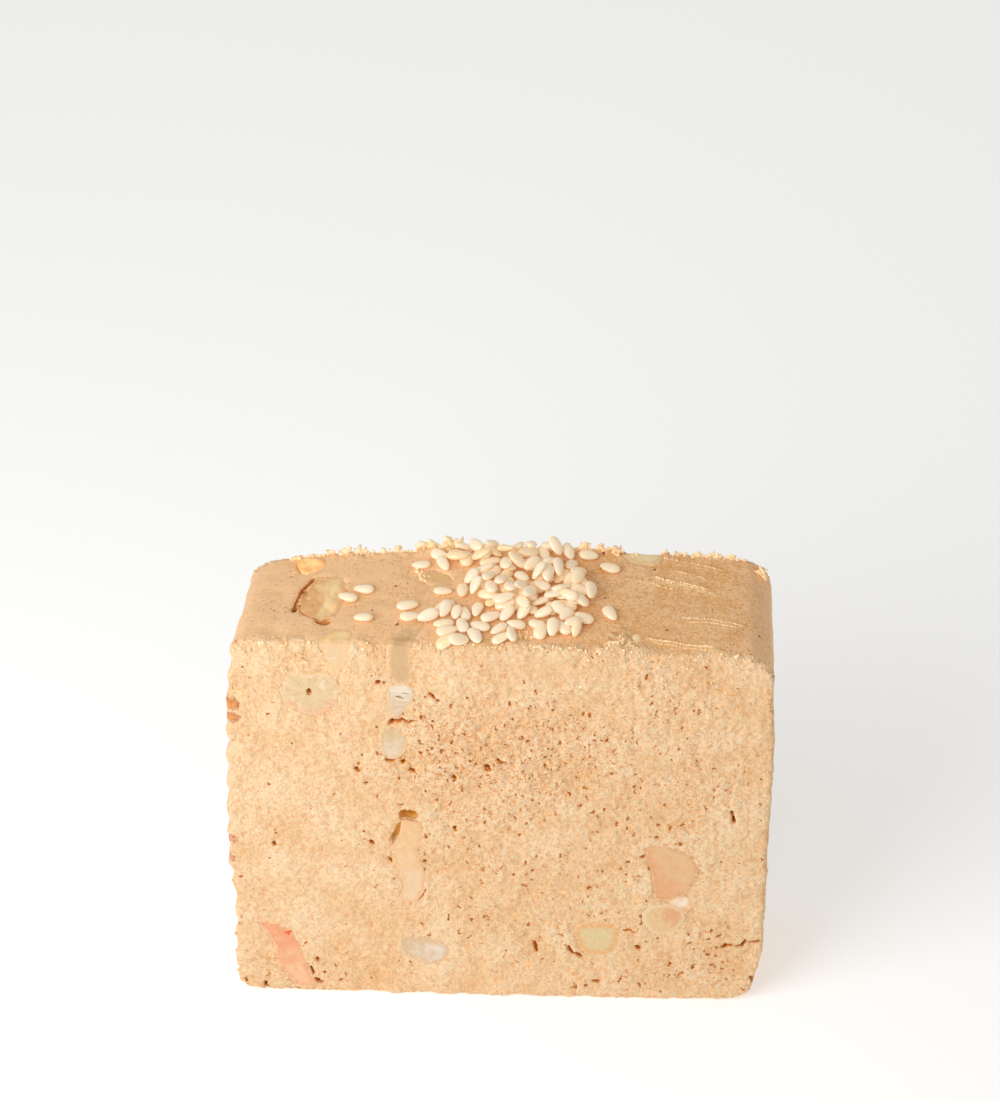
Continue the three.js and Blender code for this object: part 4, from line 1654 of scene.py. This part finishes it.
@dataclass
class Scatter:
    """Copies of a few small shapes, each at its own place, as one joined mesh."""

    name: str
    kinds: list[Mesh]
    sawn: float = 0.0  # for the halva's finish, 1 for bits of sawn crumb
    copies: list[tuple[Vector, Vector, Vector, float]] = field(default_factory=list)

    def put(self, place: Vector, turn: Vector, size: Vector, tone: float) -> None:
        """Adds one copy.

        Args:
            place: Its middle, in mm.
            turn: Its turns about X, Y and Z, in radians.
            size: Times the shape's own size, along the shape's own X, Y and Z.
            tone: 0 pale to 1 warm.
        """
        self.copies.append((place, turn, size, tone))

    def build(self, material: Material, slot: str) -> None:
        """Joins the copies into one piece.

        Args:
            material: Its material.
            slot: Its material slot in the record.
        """
        shelf = bpy.data.collections.new(self.name + " kinds")
        for i, mesh in enumerate(self.kinds):
            shelf.objects.link(bpy.data.objects.new(f"{self.name} kind {i}", mesh))
        places, turns, sizes, tones = zip(*self.copies)
        mesh = bpy.data.meshes.new(self.name)
        mesh.from_pydata([place * MM for place in places], [], [])
        for name, values in (("turn", turns), ("size", sizes)):
            flat = [part for value in values for part in value]
            mesh.attributes.new(name, "FLOAT_VECTOR", "POINT").data.foreach_set("vector", flat)
        for name, values in (("tone", tones), ("sawn", [self.sawn] * len(tones))):
            mesh.attributes.new(name, "FLOAT", "POINT").data.foreach_set("value", values)
        obj = new_object(self.name, mesh)
        self.scatter(obj, shelf, material)
        for kind in list(shelf.objects):
            bpy.data.objects.remove(kind)
        bpy.data.collections.remove(shelf)
        hand_over(obj, material, slot)

    def scatter(self, obj: Object, shelf: Collection, material: Material) -> None:
        """Puts a shape from the shelf at each point of an object.

        Args:
            obj: The points, with the attributes turn and size. It becomes the joined mesh.
            shelf: The shapes, which are taken in turn.
            material: The joined mesh's material.
        """
        shape = ShapeTree("scatter " + self.name, shelf=shelf, kinds=len(self.kinds))
        add = shape.add
        turn, size = (
            add("GeometryNodeInputNamedAttribute", {"Name": name}, data_type="FLOAT_VECTOR")
            for name in ("turn", "size")
        )
        kinds = add(
            "GeometryNodeCollectionInfo",
            {"Collection": shape.value("Shelf"), "Separate Children": True, "Reset Children": True},
        )
        order = add("GeometryNodeInputIndex")
        pick = add(REMAINDER, [order, shape.value("Kinds")])
        copies = add(
            "GeometryNodeInstanceOnPoints",
            {
                "Points": shape.value("Geometry"), "Instance": kinds, "Pick Instance": True,
                "Instance Index": pick, "Rotation": add("FunctionNodeEulerToRotation", [turn]), "Scale": size,
            },
        )
        shape.run(obj, copies, material)


@dataclass(frozen=True)
class Lobe:
    """An oval of the top where a number of seeds fell."""

    x: float
    y: float
    half_x: float
    half_y: float
    seeds: int


@dataclass(frozen=True)
class LoneSeed:
    """A seed that lies by itself: where, which way it points, and how far it is sunk in."""

    x: float
    y: float
    turn: float  # degrees from +X
    sunk: float = 0.0  # mm
    tone: float = 0.2


# Seeds of the pile, lowest first: where each lies in mm, and its turn in degrees from +X.
PILED = (
    (0.1, 4.8, -83), (1.7, 5.6, -27), (-3.0, 4.7, 17), (5.4, 8.6, -68), (10.8, 2.2, -40),
    (5.2, 1.1, -40), (6.0, 2.9, 89), (2.6, -2.9, -60), (6.9, -1.0, 2), (-0.1, -2.3, 17),
    (-1.8, -4.6, 30), (3.2, 7.8, 24), (-1.9, 9.5, 43), (-6.0, 9.8, -6), (-9.2, 8.4, -27),
    (-8.3, -2.4, 31), (-5.4, -3.9, -82), (10.5, 0.4, -20), (10.7, -1.7, -34), (8.2, -6.5, -51),
    (3.7, 9.6, 77), (8.9, 8.9, -69), (12.1, 0.1, 87), (-0.4, -8.9, 30), (4.8, -5.9, -20),
    (11.1, -4.3, -27), (0.7, -0.5, -79), (-1.9, -0.2, -79), (-2.3, 1.9, 58), (-4.7, 3.2, 43),
    (-8.7, 6.4, -64), (-6.7, 7.4, -13), (-4.2, 9.0, -55), (-3.4, 6.8, 2), (0.1, 7.3, -40),
    (1.9, 9.2, 84), (6.4, 11.6, 2), (7.1, 9.0, -56), (3.8, 5.3, 48), (6.3, 5.9, 81),
    (9.3, 6.2, 70), (7.5, 4.2, -83), (10.3, 4.1, 42), (-5.9, 0.9, 88), (-4.1, 0.2, 66),
    (-0.6, 1.1, 81), (2.4, 2.4, -51), (2.2, -0.2, 53), (3.4, -1.4, 70), (4.7, 2.7, 53),
    (7.9, 0.1, 24), (9.0, -1.9, -27), (10.2, 2.0, 70), (5.5, -3.8, 17), (8.7, -4.4, 53),
    (9.7, -5.8, 30), (5.1, -7.5, 84), (6.8, -7.1, 84), (10.1, -7.0, 77), (1.7, -5.9, -20),
    (-0.7, -6.8, 42), (1.1, -8.5, -83), (-3.3, -6.4, -20), (-4.0, -8.5, -68), (-3.7, -3.1, 77),
    (-5.8, -6.5, -75), (-6.7, -3.9, 88), (-8.3, -3.6, 70), (-8.4, -6.1, 9), (-7.9, -7.7, 14),
    (-10.6, -4.9, 20), (-8.0, -9.7, 30), (-6.2, -9.9, 20), (0.4, -4.3, 53),
)


@dataclass
class SeedPile:
    """Hulled sesame seeds heaped on the middle of the top, with a few lying loose."""

    length: float = 3.0  # mm
    width: float = 1.74
    thick: float = 0.95
    seed: int = 11
    step: float = 0.12  # mm between the height samples
    tries: int = 7
    lobes: tuple[Lobe, ...] = (Lobe(4.0, 1.4, 7.2, 5.4, 34), Lobe(-0.5, 7.0, 6.0, 2.0, 5))
    lone: tuple[LoneSeed, ...] = each(
        LoneSeed, (-19.7, 1.4, -8, 0, 0.1), (-21.9, -0.4, -14), (-19.6, -5.0, 4), (-13.5, -2.4, 14),
        (-13.1, -4.7, 10), (-8.6, 0.8, -3), (-11.8, 6.5, 4), (11.8, 8.6, -4), (14.8, 6.1, -22),
        (14.9, -3.1, -62), (18.6, -7.6, 80, 0.8, 1.0),
    )

    LOW_X, HIGH_X, LOW_Y, HIGH_Y = -25.0, 23.0, -11.5, 11.5  # mm, the part of the top in use
    EDGE = 9.2  # mm from the middle, as far out as a strewn seed keeps its hold
    BRINK = 9.8  # mm from the middle, as far out as a seed held by others lies
    NOWHERE = -9.0  # mm, the height beside the block
    LEANS_U = (-0.6, -0.35, -0.18, -0.06, 0.0, 0.06, 0.18, 0.35, 0.6)  # slopes to try along a seed
    LEANS_V = (-0.7, -0.4, -0.2, 0.0, 0.2, 0.4, 0.7)  # and across it

    def __post_init__(self) -> None:
        """Starts the pile's own row of random numbers."""
        self.random = random.Random(self.seed)

    def build(self, body: Object, material: Material) -> None:
        """Drops every seed on the body and joins them into one piece.

        Args:
            body: The finished halva.
            material: The seeds' material.
        """
        probe = SurfaceProbe(body)
        xs = np.arange(self.LOW_X, self.HIGH_X, self.step)
        ys = np.arange(self.LOW_Y, self.HIGH_Y, self.step)
        touched = [[probe.touch(Face.TOP, x, y) for y in ys] for x in xs]
        self.heights = np.array([[self.NOWHERE if p is None else p.z for p in row] for row in touched])
        scatter = Scatter("sesame_seeds", [self.seed_mesh(i) for i in range(5)])
        for lone in self.lone:
            self.drop(scatter, [(lone.x, lone.y, radians(lone.turn))], lone.sunk, lone.tone)
        for lobe in self.lobes:
            for _ in range(lobe.seeds):
                self.drop(scatter, [self.spot_in(lobe) for _ in range(self.tries)])
        for x, y, turn in PILED:
            y = min(max(y, -self.BRINK), self.BRINK)
            self.drop(scatter, [(x, y, radians(turn))])
        scatter.build(material, "sesame")

    def spot_in(self, lobe: Lobe) -> Triple:
        """Picks a random place in a lobe and a random turn.

        Args:
            lobe: The lobe.

        Returns:
            The place in mm and the turn in radians.
        """
        y = inf
        while abs(y) > self.EDGE:
            angle = self.random.uniform(0, tau)
            out = sqrt(self.random.random())
            x = lobe.x + lobe.half_x * out * cos(angle)
            y = lobe.y + lobe.half_y * out * sin(angle)
        return x, y, self.random.uniform(0, tau)

    def seed_mesh(self, kind: int) -> Mesh:
        """Makes one seed: a flat drop with a pointed tip.

        Args:
            kind: Which of the slightly different shapes.

        Returns:
            The seed's mesh, tip towards +X.
        """
        around, along = 12, 9
        own = random.Random(self.seed + kind)
        skew = own.uniform(0.12, 0.3)
        bend = own.uniform(-0.08, 0.08)
        shape = bmesh.new()
        rings = []
        for i in range(1, along):
            u = -cos(pi * i / along)
            swell = (1 - abs(u) ** 2.3) ** 0.5 * (1 - skew * u)
            ring = []
            for j in range(around):
                angle = tau * j / around
                y = cos(angle) * swell * self.width / 2 + bend * (1 - u * u)
                z = sin(angle) * swell * self.thick / 2
                ring.append(shape.verts.new(Vector((u * self.length / 2, y, z)) * MM))
            rings.append(ring)
        ends = [shape.verts.new(Vector((side * self.length / 2, 0, 0)) * MM) for side in (-1, 1)]
        for ring, after in zip(rings, rings[1:]):
            for j in range(around):
                k = (j + 1) % around
                shape.faces.new((ring[j], after[j], after[k], ring[k]))
        for end, ring in zip(ends, (rings[0], rings[-1])):
            for j in range(around):
                shape.faces.new((end, ring[j], ring[(j + 1) % around]))
        bmesh.ops.recalc_face_normals(shape, faces=shape.faces)
        return closed_mesh(shape, f"seed {kind}")

    def drop(
        self, scatter: Scatter, spots: list[Triple], sunk: float = 0.0, tone: float | None = None
    ) -> None:
        """Lays one seed at the spot, of those offered, where it comes to rest lowest.

        Args:
            scatter: Takes the seed.
            spots: Places in mm and turns in radians to try.
            sunk: How far the seed is pressed in, in mm.
            tone: Its tone, or None for a random one.
        """
        size = self.random.uniform(0.9, 1.08)
        rests = [self.rest(spot, size) for spot in spots]
        height, lean_u, lean_v, (x, y, turn) = min(rests)
        self.press(self.footprint((x, y, turn), size), height, lean_u, lean_v)
        along = Vector((cos(turn), sin(turn), lean_u)).normalized()
        across = Vector((-sin(turn), cos(turn), lean_v))
        up = along.cross(across).normalized()
        across = up.cross(along)
        basis = Matrix((along, across, up)).transposed()
        flip = Matrix.Rotation(pi * self.random.randrange(2), 3, "Z")
        turned = Vector((basis @ flip).to_euler())
        plump = Vector((size, size * self.random.uniform(0.92, 1.08), size * self.random.uniform(0.9, 1.1)))
        tone = self.random.random() ** 6 if tone is None else tone
        scatter.put(Vector((x, y, height - sunk)), turned, plump, tone)

    def footprint(self, spot: Triple, size: float) -> tuple:
        """Finds the height samples under a seed.

        Args:
            spot: The seed's place in mm and its turn in radians.
            size: Times its normal size.

        Returns:
            The samples' index arrays, their places along and across the seed, and how far
            the seed's skin is from its middle plane there.
        """
        x, y, turn = spot
        reach = self.length / 2 * size
        i0 = int((x - reach - self.LOW_X) / self.step)
        j0 = int((y - reach - self.LOW_Y) / self.step)
        count = int(2 * reach / self.step) + 2
        i = np.clip(np.arange(i0, i0 + count), 0, self.heights.shape[0] - 1)
        j = np.clip(np.arange(j0, j0 + count), 0, self.heights.shape[1] - 1)
        i, j = np.meshgrid(i, j, indexing="ij")
        dx = i * self.step + self.LOW_X - x
        dy = j * self.step + self.LOW_Y - y
        u = dx * cos(turn) + dy * sin(turn)
        v = -dx * sin(turn) + dy * cos(turn)
        inside = 1 - (u / reach) ** 2 - (v / (self.width / 2 * size)) ** 2
        kept = inside > 0
        half = self.thick / 2 * size * np.sqrt(inside[kept])
        return (i[kept], j[kept]), u[kept], v[kept], half

    def rest(self, spot: Triple, size: float) -> tuple:
        """Tilts a seed until it lies as low as it can at a place.

        Args:
            spot: The seed's place in mm and its turn in radians.
            size: Times its normal size.

        Returns:
            Its height, its two leans and the spot again.
        """
        under, u, v, half = self.footprint(spot, size)
        ground = self.heights[under]
        best = None
        for lean_u in self.LEANS_U:
            for lean_v in self.LEANS_V:
                height = float(np.max(ground - u * lean_u - v * lean_v + half))
                cost = height + 0.08 * (abs(lean_u) + abs(lean_v))
                if best is None or cost < best[0]:
                    best = (cost, height, lean_u, lean_v)
        return *best[1:], spot

    def press(self, footprint: tuple, height: float, lean_u: float, lean_v: float) -> None:
        """Adds a resting seed's upper side to the heights.

        Args:
            footprint: The height samples under the seed.
            height: Its middle's height, in mm.
            lean_u: Its slope along its length.
            lean_v: Its slope across.
        """
        under, u, v, half = footprint
        upper = height + u * lean_u + v * lean_v + half
        self.heights[under] = np.maximum(self.heights[under], upper)


@dataclass(frozen=True)
class Tuft:
    """A little heap of flakes."""

    x: float
    y: float
    wide: float  # mm
    high: float  # mm
    count: int


@dataclass(frozen=True)
class CrumbTrail:
    """Crumbs strewn along a line on the top."""

    path: tuple[Point, ...]
    spread: float  # mm to each side
    count: int
    small: float  # mm across
    large: float


@dataclass
class CrumbDrift:
    """Loose crumbs of halva along the sawn edges and round the seeds."""

    seed: int = 5
    jagged: Point = (0.6, 1.35)  # how far a crumb's corners lie from its middle, in radii
    trails: tuple[CrumbTrail, ...] = each(
        CrumbTrail, (((-30, 9.4), (-26, 9.9), (-12, 10.0)), 0.35, 130, 0.2, 0.7),
        (((-13, 10.1), (20, 10.1)), 0.35, 280, 0.2, 0.7), (((20, 10.0), (34, 9.8)), 0.3, 110, 0.2, 0.6),
        (((14.4, -9.6), (16.2, -7.8), (18.0, -9.4)), 0.7, 70, 0.15, 0.45),
        (((-36, -10.0), (-20, -10.0), (-4, -10.0)), 0.25, 60, 0.2, 0.5),
        (((-4, -10.0), (12, -10.0), (34, -10.0)), 0.25, 80, 0.2, 0.5),
        (((0.2, -8.0), (2.0, -7.4), (3.8, -7.8)), 0.9, 40, 0.25, 0.6),
        (((-12.6, 5.4), (-11.4, 4.4), (-10.6, 3.8)), 0.7, 70, 0.2, 0.6),
        (((17.0, 4.4), (21.0, 3.6), (24.4, 2.7)), 0.05, 40, 0.1, 0.26),
        (((21.2, 4.9), (25.4, 4.0), (28.6, 3.1)), 0.07, 95, 0.12, 0.34),
        (((22.4, 4.3), (26.3, 3.4), (29.3, 2.5)), 0.05, 60, 0.1, 0.28),
        (((22.6, 9.0), (27.0, 8.1), (30.6, 7.3)), 0.06, 60, 0.1, 0.3),
        (((24.4, 6.4), (28.2, 5.4)), 0.05, 45, 0.1, 0.28),
        (((25.0, -2.9), (29.0, -2.9), (33.4, -3.7)), 0.05, 80, 0.1, 0.26),
        (((25.6, -3.6), (29.4, -3.6), (32.6, -4.2)), 0.06, 70, 0.1, 0.28),
        (((20.0, -7.3), (24.4, -8.0), (29.2, -8.6)), 0.07, 110, 0.12, 0.34),
        (((20.8, -8.0), (25.0, -8.7), (28.4, -9.1)), 0.05, 60, 0.1, 0.26),
    )
    tufts: tuple[Tuft, ...] = each(
        Tuft, (-24.6, 9.9, 1.0, 0.8, 16), (-22.6, 10.0, 1.1, 0.9, 17), (-20.6, 10.1, 0.9, 0.7, 12),
        (-17.1, 10.1, 0.4, 1.1, 7), (-15.2, 10.1, 0.7, 0.9, 12), (-11.9, 10.1, 0.8, 1.7, 20),
        (-10.4, 10.0, 0.7, 1.0, 13), (-8.2, 10.1, 1.1, 1.6, 26), (-6.4, 10.2, 0.9, 1.2, 16),
        (-4.6, 10.1, 0.7, 1.0, 12), (8.6, 10.2, 0.9, 0.9, 14), (11.3, 10.2, 0.9, 1.2, 18),
        (13.6, 10.1, 1.0, 1.1, 18), (15.6, 10.0, 1.0, 1.4, 20), (18.6, 10.1, 1.1, 1.2, 19),
        (24.0, 10.1, 0.6, 0.6, 8), (26.9, 10.1, 0.6, 0.6, 8), (29.6, 10.0, 0.6, 0.5, 7),
        (32.0, 9.9, 0.5, 0.5, 7), (36.4, 8.2, 0.8, 0.9, 16),
    )

    FLOOR = 60.0  # mm, below which a crumb missed the top
    BRINK = 10.2  # mm from the middle, as far out as a flake lies

    def build(self, body: Object, material: Material) -> None:
        """Strews the crumbs and joins them into one piece.

        Args:
            body: The finished halva.
            material: The crumbs' material.
        """
        chance = random.Random(self.seed)
        probe = SurfaceProbe(body)
        lumps = [lump_mesh(chance, f"crumb {i}", 2, *self.jagged) for i in range(6)]
        scatter = Scatter("loose_crumbs", lumps, sawn=1.0)
        flakes = Scatter("loose_flakes", [self.flake_mesh(chance, i) for i in range(8)], sawn=1.0)
        for trail in self.trails:
            for _ in range(trail.count):
                u, v = self.along(trail.path, chance.random())
                u += chance.uniform(-trail.spread, trail.spread)
                v += chance.uniform(-trail.spread, trail.spread)
                point = probe.touch(Face.TOP, u, v)
                if point is None or point.z < self.FLOOR:
                    continue
                across = trail.small + (trail.large - trail.small) * chance.random() ** 2.2
                flat = chance.uniform(0.45, 1.0)
                turn = Vector([chance.uniform(0, tau) for _ in range(3)])
                size = Vector((across, across * chance.uniform(0.6, 1.0), across * flat))
                lift = Vector((0, 0, 0.22 * across))
                scatter.put(point + lift, turn, size, chance.random())
        for tuft in self.tufts:
            for _ in range(tuft.count):
                out = chance.gauss(0, 0.42)
                u = tuft.x + tuft.wide * out
                v = tuft.y + tuft.wide * 0.6 * chance.gauss(0, 0.4)
                point = probe.touch(Face.TOP, u, min(v, self.BRINK))
                if point is None or point.z < self.FLOOR:
                    continue
                across = 0.6 + 1.3 * chance.random() ** 1.6
                turn = Vector((chance.gauss(0.9, 0.6), chance.gauss(0, 0.5), chance.uniform(0, tau)))
                size = Vector((across, across * chance.uniform(0.4, 0.8), across * chance.uniform(0.5, 1.0)))
                lift = Vector((0, 0, chance.random() * tuft.high * max(0.1, 1 - abs(out))))
                flakes.put(point + lift, turn, size, chance.random())
        scatter.build(material, "halva")
        flakes.build(material, "halva")

    @staticmethod
    def along(path: tuple[Point, ...], t: float) -> Point:
        """Walks along a line of straight steps.

        Args:
            path: The line's corners.
            t: The share of the way, counted in steps, from 0 to 1.

        Returns:
            The point there.
        """
        steps = t * (len(path) - 1)
        i = min(int(steps), len(path) - 2)
        part = steps - i
        (u0, v0), (u1, v1) = path[i], path[i + 1]
        return u0 + (u1 - u0) * part, v0 + (v1 - v0) * part

    @staticmethod
    def flake_mesh(chance: random.Random, kind: int) -> Mesh:
        """Makes one thin ragged flake, about 1 mm across.

        Args:
            chance: The row of random numbers to draw from.
            kind: Its number.

        Returns:
            The flake's mesh.
        """
        points, thick = 11, 0.12
        outline = [chance.uniform(0.2, 0.62) for _ in range(points)]
        bend = chance.uniform(-0.15, 0.15)
        shape = bmesh.new()
        rims = []
        for side in (-1, 1):
            rims.append([])
            for i in range(points):
                angle = tau * i / points
                lift = side * thick / 2 + bend * cos(angle * 2) + chance.uniform(-0.05, 0.05)
                corner = Vector((outline[i] * cos(angle), outline[i] * sin(angle), lift))
                rims[-1].append(shape.verts.new(corner * MM))
        for i in range(points):
            j = (i + 1) % points
            shape.faces.new((rims[0][i], rims[0][j], rims[1][j], rims[1][i]))
        for side, rim in zip((-1, 1), rims):
            middle = shape.verts.new(Vector((0, 0, side * thick)) * MM)
            for i in range(points):
                shape.faces.new((rim[i], rim[(i + 1) % points], middle))
        bmesh.ops.recalc_face_normals(shape, faces=shape.faces)
        return closed_mesh(shape, f"flake {kind}")


@dataclass(frozen=True)
class Fleck:
    """A flat chip of husk or skin in a face."""

    face: Face
    u: float
    v: float
    long: float = 0.45  # mm
    wide: float = 0.32  # mm
    slope: float = 0.0  # degrees
    tone: float = 0.1  # 0 black to 1 orange


@dataclass
class Flecks:
    """Chips of dark sesame husk and orange nut skin, and dark chips laid as painted shade in the slits of two
    nuts.
    """

    seed: int = 31
    chips: tuple[Fleck, ...] = tuple(
        Fleck(face, *row)
        for face, rows in {
            Face.FRONT: (
                (-9.7, 54.1, 0.7, 0.35, 70), (-19.6, 47.2), (-29.4, 49.3, 0.35), (-32.7, 27.0),
                # The long thin chips at x -15.0, -13.6 and -14.3 are painted shade: dark sheets laid in slits
                # in two nuts.
                (-36.3, 63.7), (-36.8, 23.0, 0.7, 0.5, 0, 0.6), (-15.0, 68.4, 1.9, 0.3, 63, 0.35),
                (-13.6, 59.3, 1.6, 0.14, -12, 0.15), (-14.3, 58.5, 1.7, 0.16, -14, 0.2),
                (-30.1, 11.9, 1.1, 0.9, 0, 1.0),
            ),
            Face.TOP: (
                (21.1, 6.6), (14.1, 0.4), (35.7, -4.7, 0.55), (22.8, -5.5, 0.6, 0.45, 20, 0.55),
                (-15.2, 2.3, 0.6, 0.4, 30, 0.4), (-18.4, -2.9, 0.35),
            ),
        }.items()
        for row in rows
    )

    def build(self, body: Object) -> None:
        """Presses the chips into the faces and joins them into one piece.

        Args:
            body: The finished halva. The finished nuts are found by their names.
        """
        chance = random.Random(self.seed)
        pieces = [obj for obj in bpy.data.objects if obj is body or obj.name.startswith("peanut_")]
        probes = [SurfaceProbe(piece) for piece in pieces]
        scatter = Scatter("husk_flecks", [CrumbDrift.flake_mesh(chance, i) for i in range(4)])
        for chip in self.chips:
            touched = [probe.touch(chip.face, chip.u, chip.v) for probe in probes]
            out = Vector(chip.face.value)
            point = max((p for p in touched if p is not None), key=out.dot)
            slope = radians(chip.slope)
            turn = (0, 0, slope) if chip.face is Face.TOP else (pi / 2, -slope, 0)
            scatter.put(point, Vector(turn), Vector((chip.long, chip.wide, 0.5)), chip.tone)
        scatter.build(FleckFinish().build(), "nut_skin")


@dataclass
class Granules:
    """Granules that stand proud of the sawn faces."""

    seed: int = 23
    count: int = 8_500
    small: float = 0.28  # mm across
    large: float = 0.8
    rim: int = 1_400  # granules along the top's two long edges
    lumpy: Point = (0.75, 1.2)  # how far a granule's corners lie from its middle, in radii
    clear: float = 0.12  # mm kept free round the nuts

    LONG, EDGE = 38.0, 10.2  # mm from the middle to an end and to a sawn face
    LOW, HIGH = 0.3, 69.0  # mm, the heights on the sawn faces
    SAWN = 8.6  # mm from the middle, beyond which a point lies on a sawn face or its edge

    def build(self, body: Object, halva: HalvaBody, material: Material) -> None:
        """Sets the granules into both sawn faces.

        Args:
            body: The finished halva.
            halva: Tells where the crumb is open.
            material: The halva's material.
        """
        chance = random.Random(self.seed)
        probe = SurfaceProbe(body)
        beds = BVHTree.FromObject(halva.beds.plugs, bpy.context.evaluated_depsgraph_get())
        kinds = [lump_mesh(chance, f"granule {i}", 1, *self.lumpy) for i in range(8)]
        scatter = Scatter("sawn_granules", kinds, sawn=1.0)
        while len(scatter.copies) < self.count + self.rim:
            x = chance.uniform(-self.LONG, self.LONG)
            if len(scatter.copies) < self.rim:
                face = Face.TOP
                side = chance.choice((-1, 1))
                point = probe.touch(face, x, side * (self.EDGE - abs(chance.gauss(0, 0.4))))
            else:
                face = chance.choice((Face.FRONT, Face.BACK))
                z = chance.uniform(self.LOW, self.HIGH)
                if chance.random() > 0.22 + 0.9 * halva.richness(x, z):
                    continue
                point = probe.touch(face, x, z)
            if point is None or abs(point.y) < self.SAWN:
                continue
            if beds.find_nearest(point * MM, self.clear * MM)[0] is not None:
                continue
            across = self.small + (self.large - self.small) * chance.random() ** 2.4
            turn = Vector([chance.uniform(0, tau) for _ in range(3)])
            size = Vector([across * chance.uniform(0.7, 1.0) for _ in range(3)])
            inward = Vector(face.value) * -0.3 * across
            scatter.put(point + inward, turn, size, chance.random())
        scatter.build(material, "halva")


# ---- the studio


@dataclass
class Studio:
    """The table, the light and the camera."""

    focal_px: float = 6500.0  # focal length in pixels of the 1000 x 1100 picture
    picture: tuple[int, int] = (1000, 1100)
    pitch: float = 41.0  # degrees that the camera looks down
    roll: float = 1.3  # degrees that the camera is turned
    stand: Triple = (-0.75, -682.67, 670.84)  # mm, where the camera stands
    sensor: float = 36.0  # mm
    key_place: Triple = (-150.0, -160.0, 195.0)  # mm, where the soft light hangs
    key_side: float = 200.0  # mm
    key_watts: float = 0.445

    def build(self) -> None:
        """Sets up everything that isn't part of the block."""
        self.table()
        self.lights()
        self.camera()
        scene = bpy.context.scene
        scene.view_settings.view_transform = "Standard"
        scene.view_settings.look = "None"

    def camera(self) -> None:
        """Sets up the camera and aims it down at the block."""
        pitch, roll = radians(self.pitch), radians(self.roll)
        forward = Vector((0, cos(pitch), -sin(pitch)))
        level = Vector((1, 0, 0))
        rise = level.cross(forward)
        right = level * cos(roll) + rise * sin(roll)
        up = rise * cos(roll) - level * sin(roll)
        data = bpy.data.cameras.new("camera")
        data.sensor_width = self.sensor
        data.lens = self.sensor * self.focal_px / max(self.picture)
        data.clip_end = 20.0
        camera = new_object("camera", data)
        turn = Matrix((right, up, -forward)).transposed().to_4x4()
        camera.matrix_world = Matrix.Translation(Vector(self.stand) * MM) @ turn
        bpy.context.scene.camera = camera

    def table(self) -> None:
        """Lays the table under the block."""
        half = 2.0  # metres
        mesh = bpy.data.meshes.new("table")
        corners = [(-half, -half, 0), (half, -half, 0), (half, half, 0), (-half, half, 0)]
        mesh.from_pydata(corners, [], [(0, 1, 2, 3)])
        table = new_object("table", mesh)
        mesh.materials.append(TableFinish().build())

    def lights(self) -> None:
        """Hangs a large soft light at the upper left front of a pale room."""
        place = Vector(self.key_place)
        data = bpy.data.lights.new("key light", "AREA")
        data.size = self.key_side * MM
        data.energy = self.key_watts
        data.color = linear("fffdfa")[:3]
        turn = (Vector((0, 0, 35)) - place).to_track_quat("-Z", "Y").to_matrix().to_4x4()
        new_object("key light", data).matrix_world = Matrix.Translation(place * MM) @ turn
        world = bpy.data.worlds.new("pale room")
        world.use_nodes = True
        back = world.node_tree.nodes["Background"]
        back.inputs["Color"].default_value = linear("fff6ea")
        back.inputs["Strength"].default_value = 0.54
        bpy.context.scene.world = world


# ---- main


def main() -> None:
    """Builds the studio and the block, piece by piece."""
    logging.basicConfig(level=logging.INFO, format="%(message)s")
    Studio().build()
    dressed = HalvaFinish().build()
    # The loose crumbs get a painted glow.
    crumbs = HalvaFinish(
        "loose halva crumb", crumb_pale="ffefd0", crumb_mid="ffe0b2", crease_shade="fbd29a", pit="f0c080",
        relief=0.3, glow=0.16,
    ).build()
    halva = HalvaBody()
    body = halva.build(dressed)
    Granules().build(body, halva, dressed)
    bpy.data.objects.remove(halva.beds.plugs)
    for piece in NUTS:
        piece.build()
    SeedPile().build(body, SesameFinish().build())
    CrumbDrift().build(body, crumbs)
    Flecks().build(body)


if __name__ == "__main__":
    main()
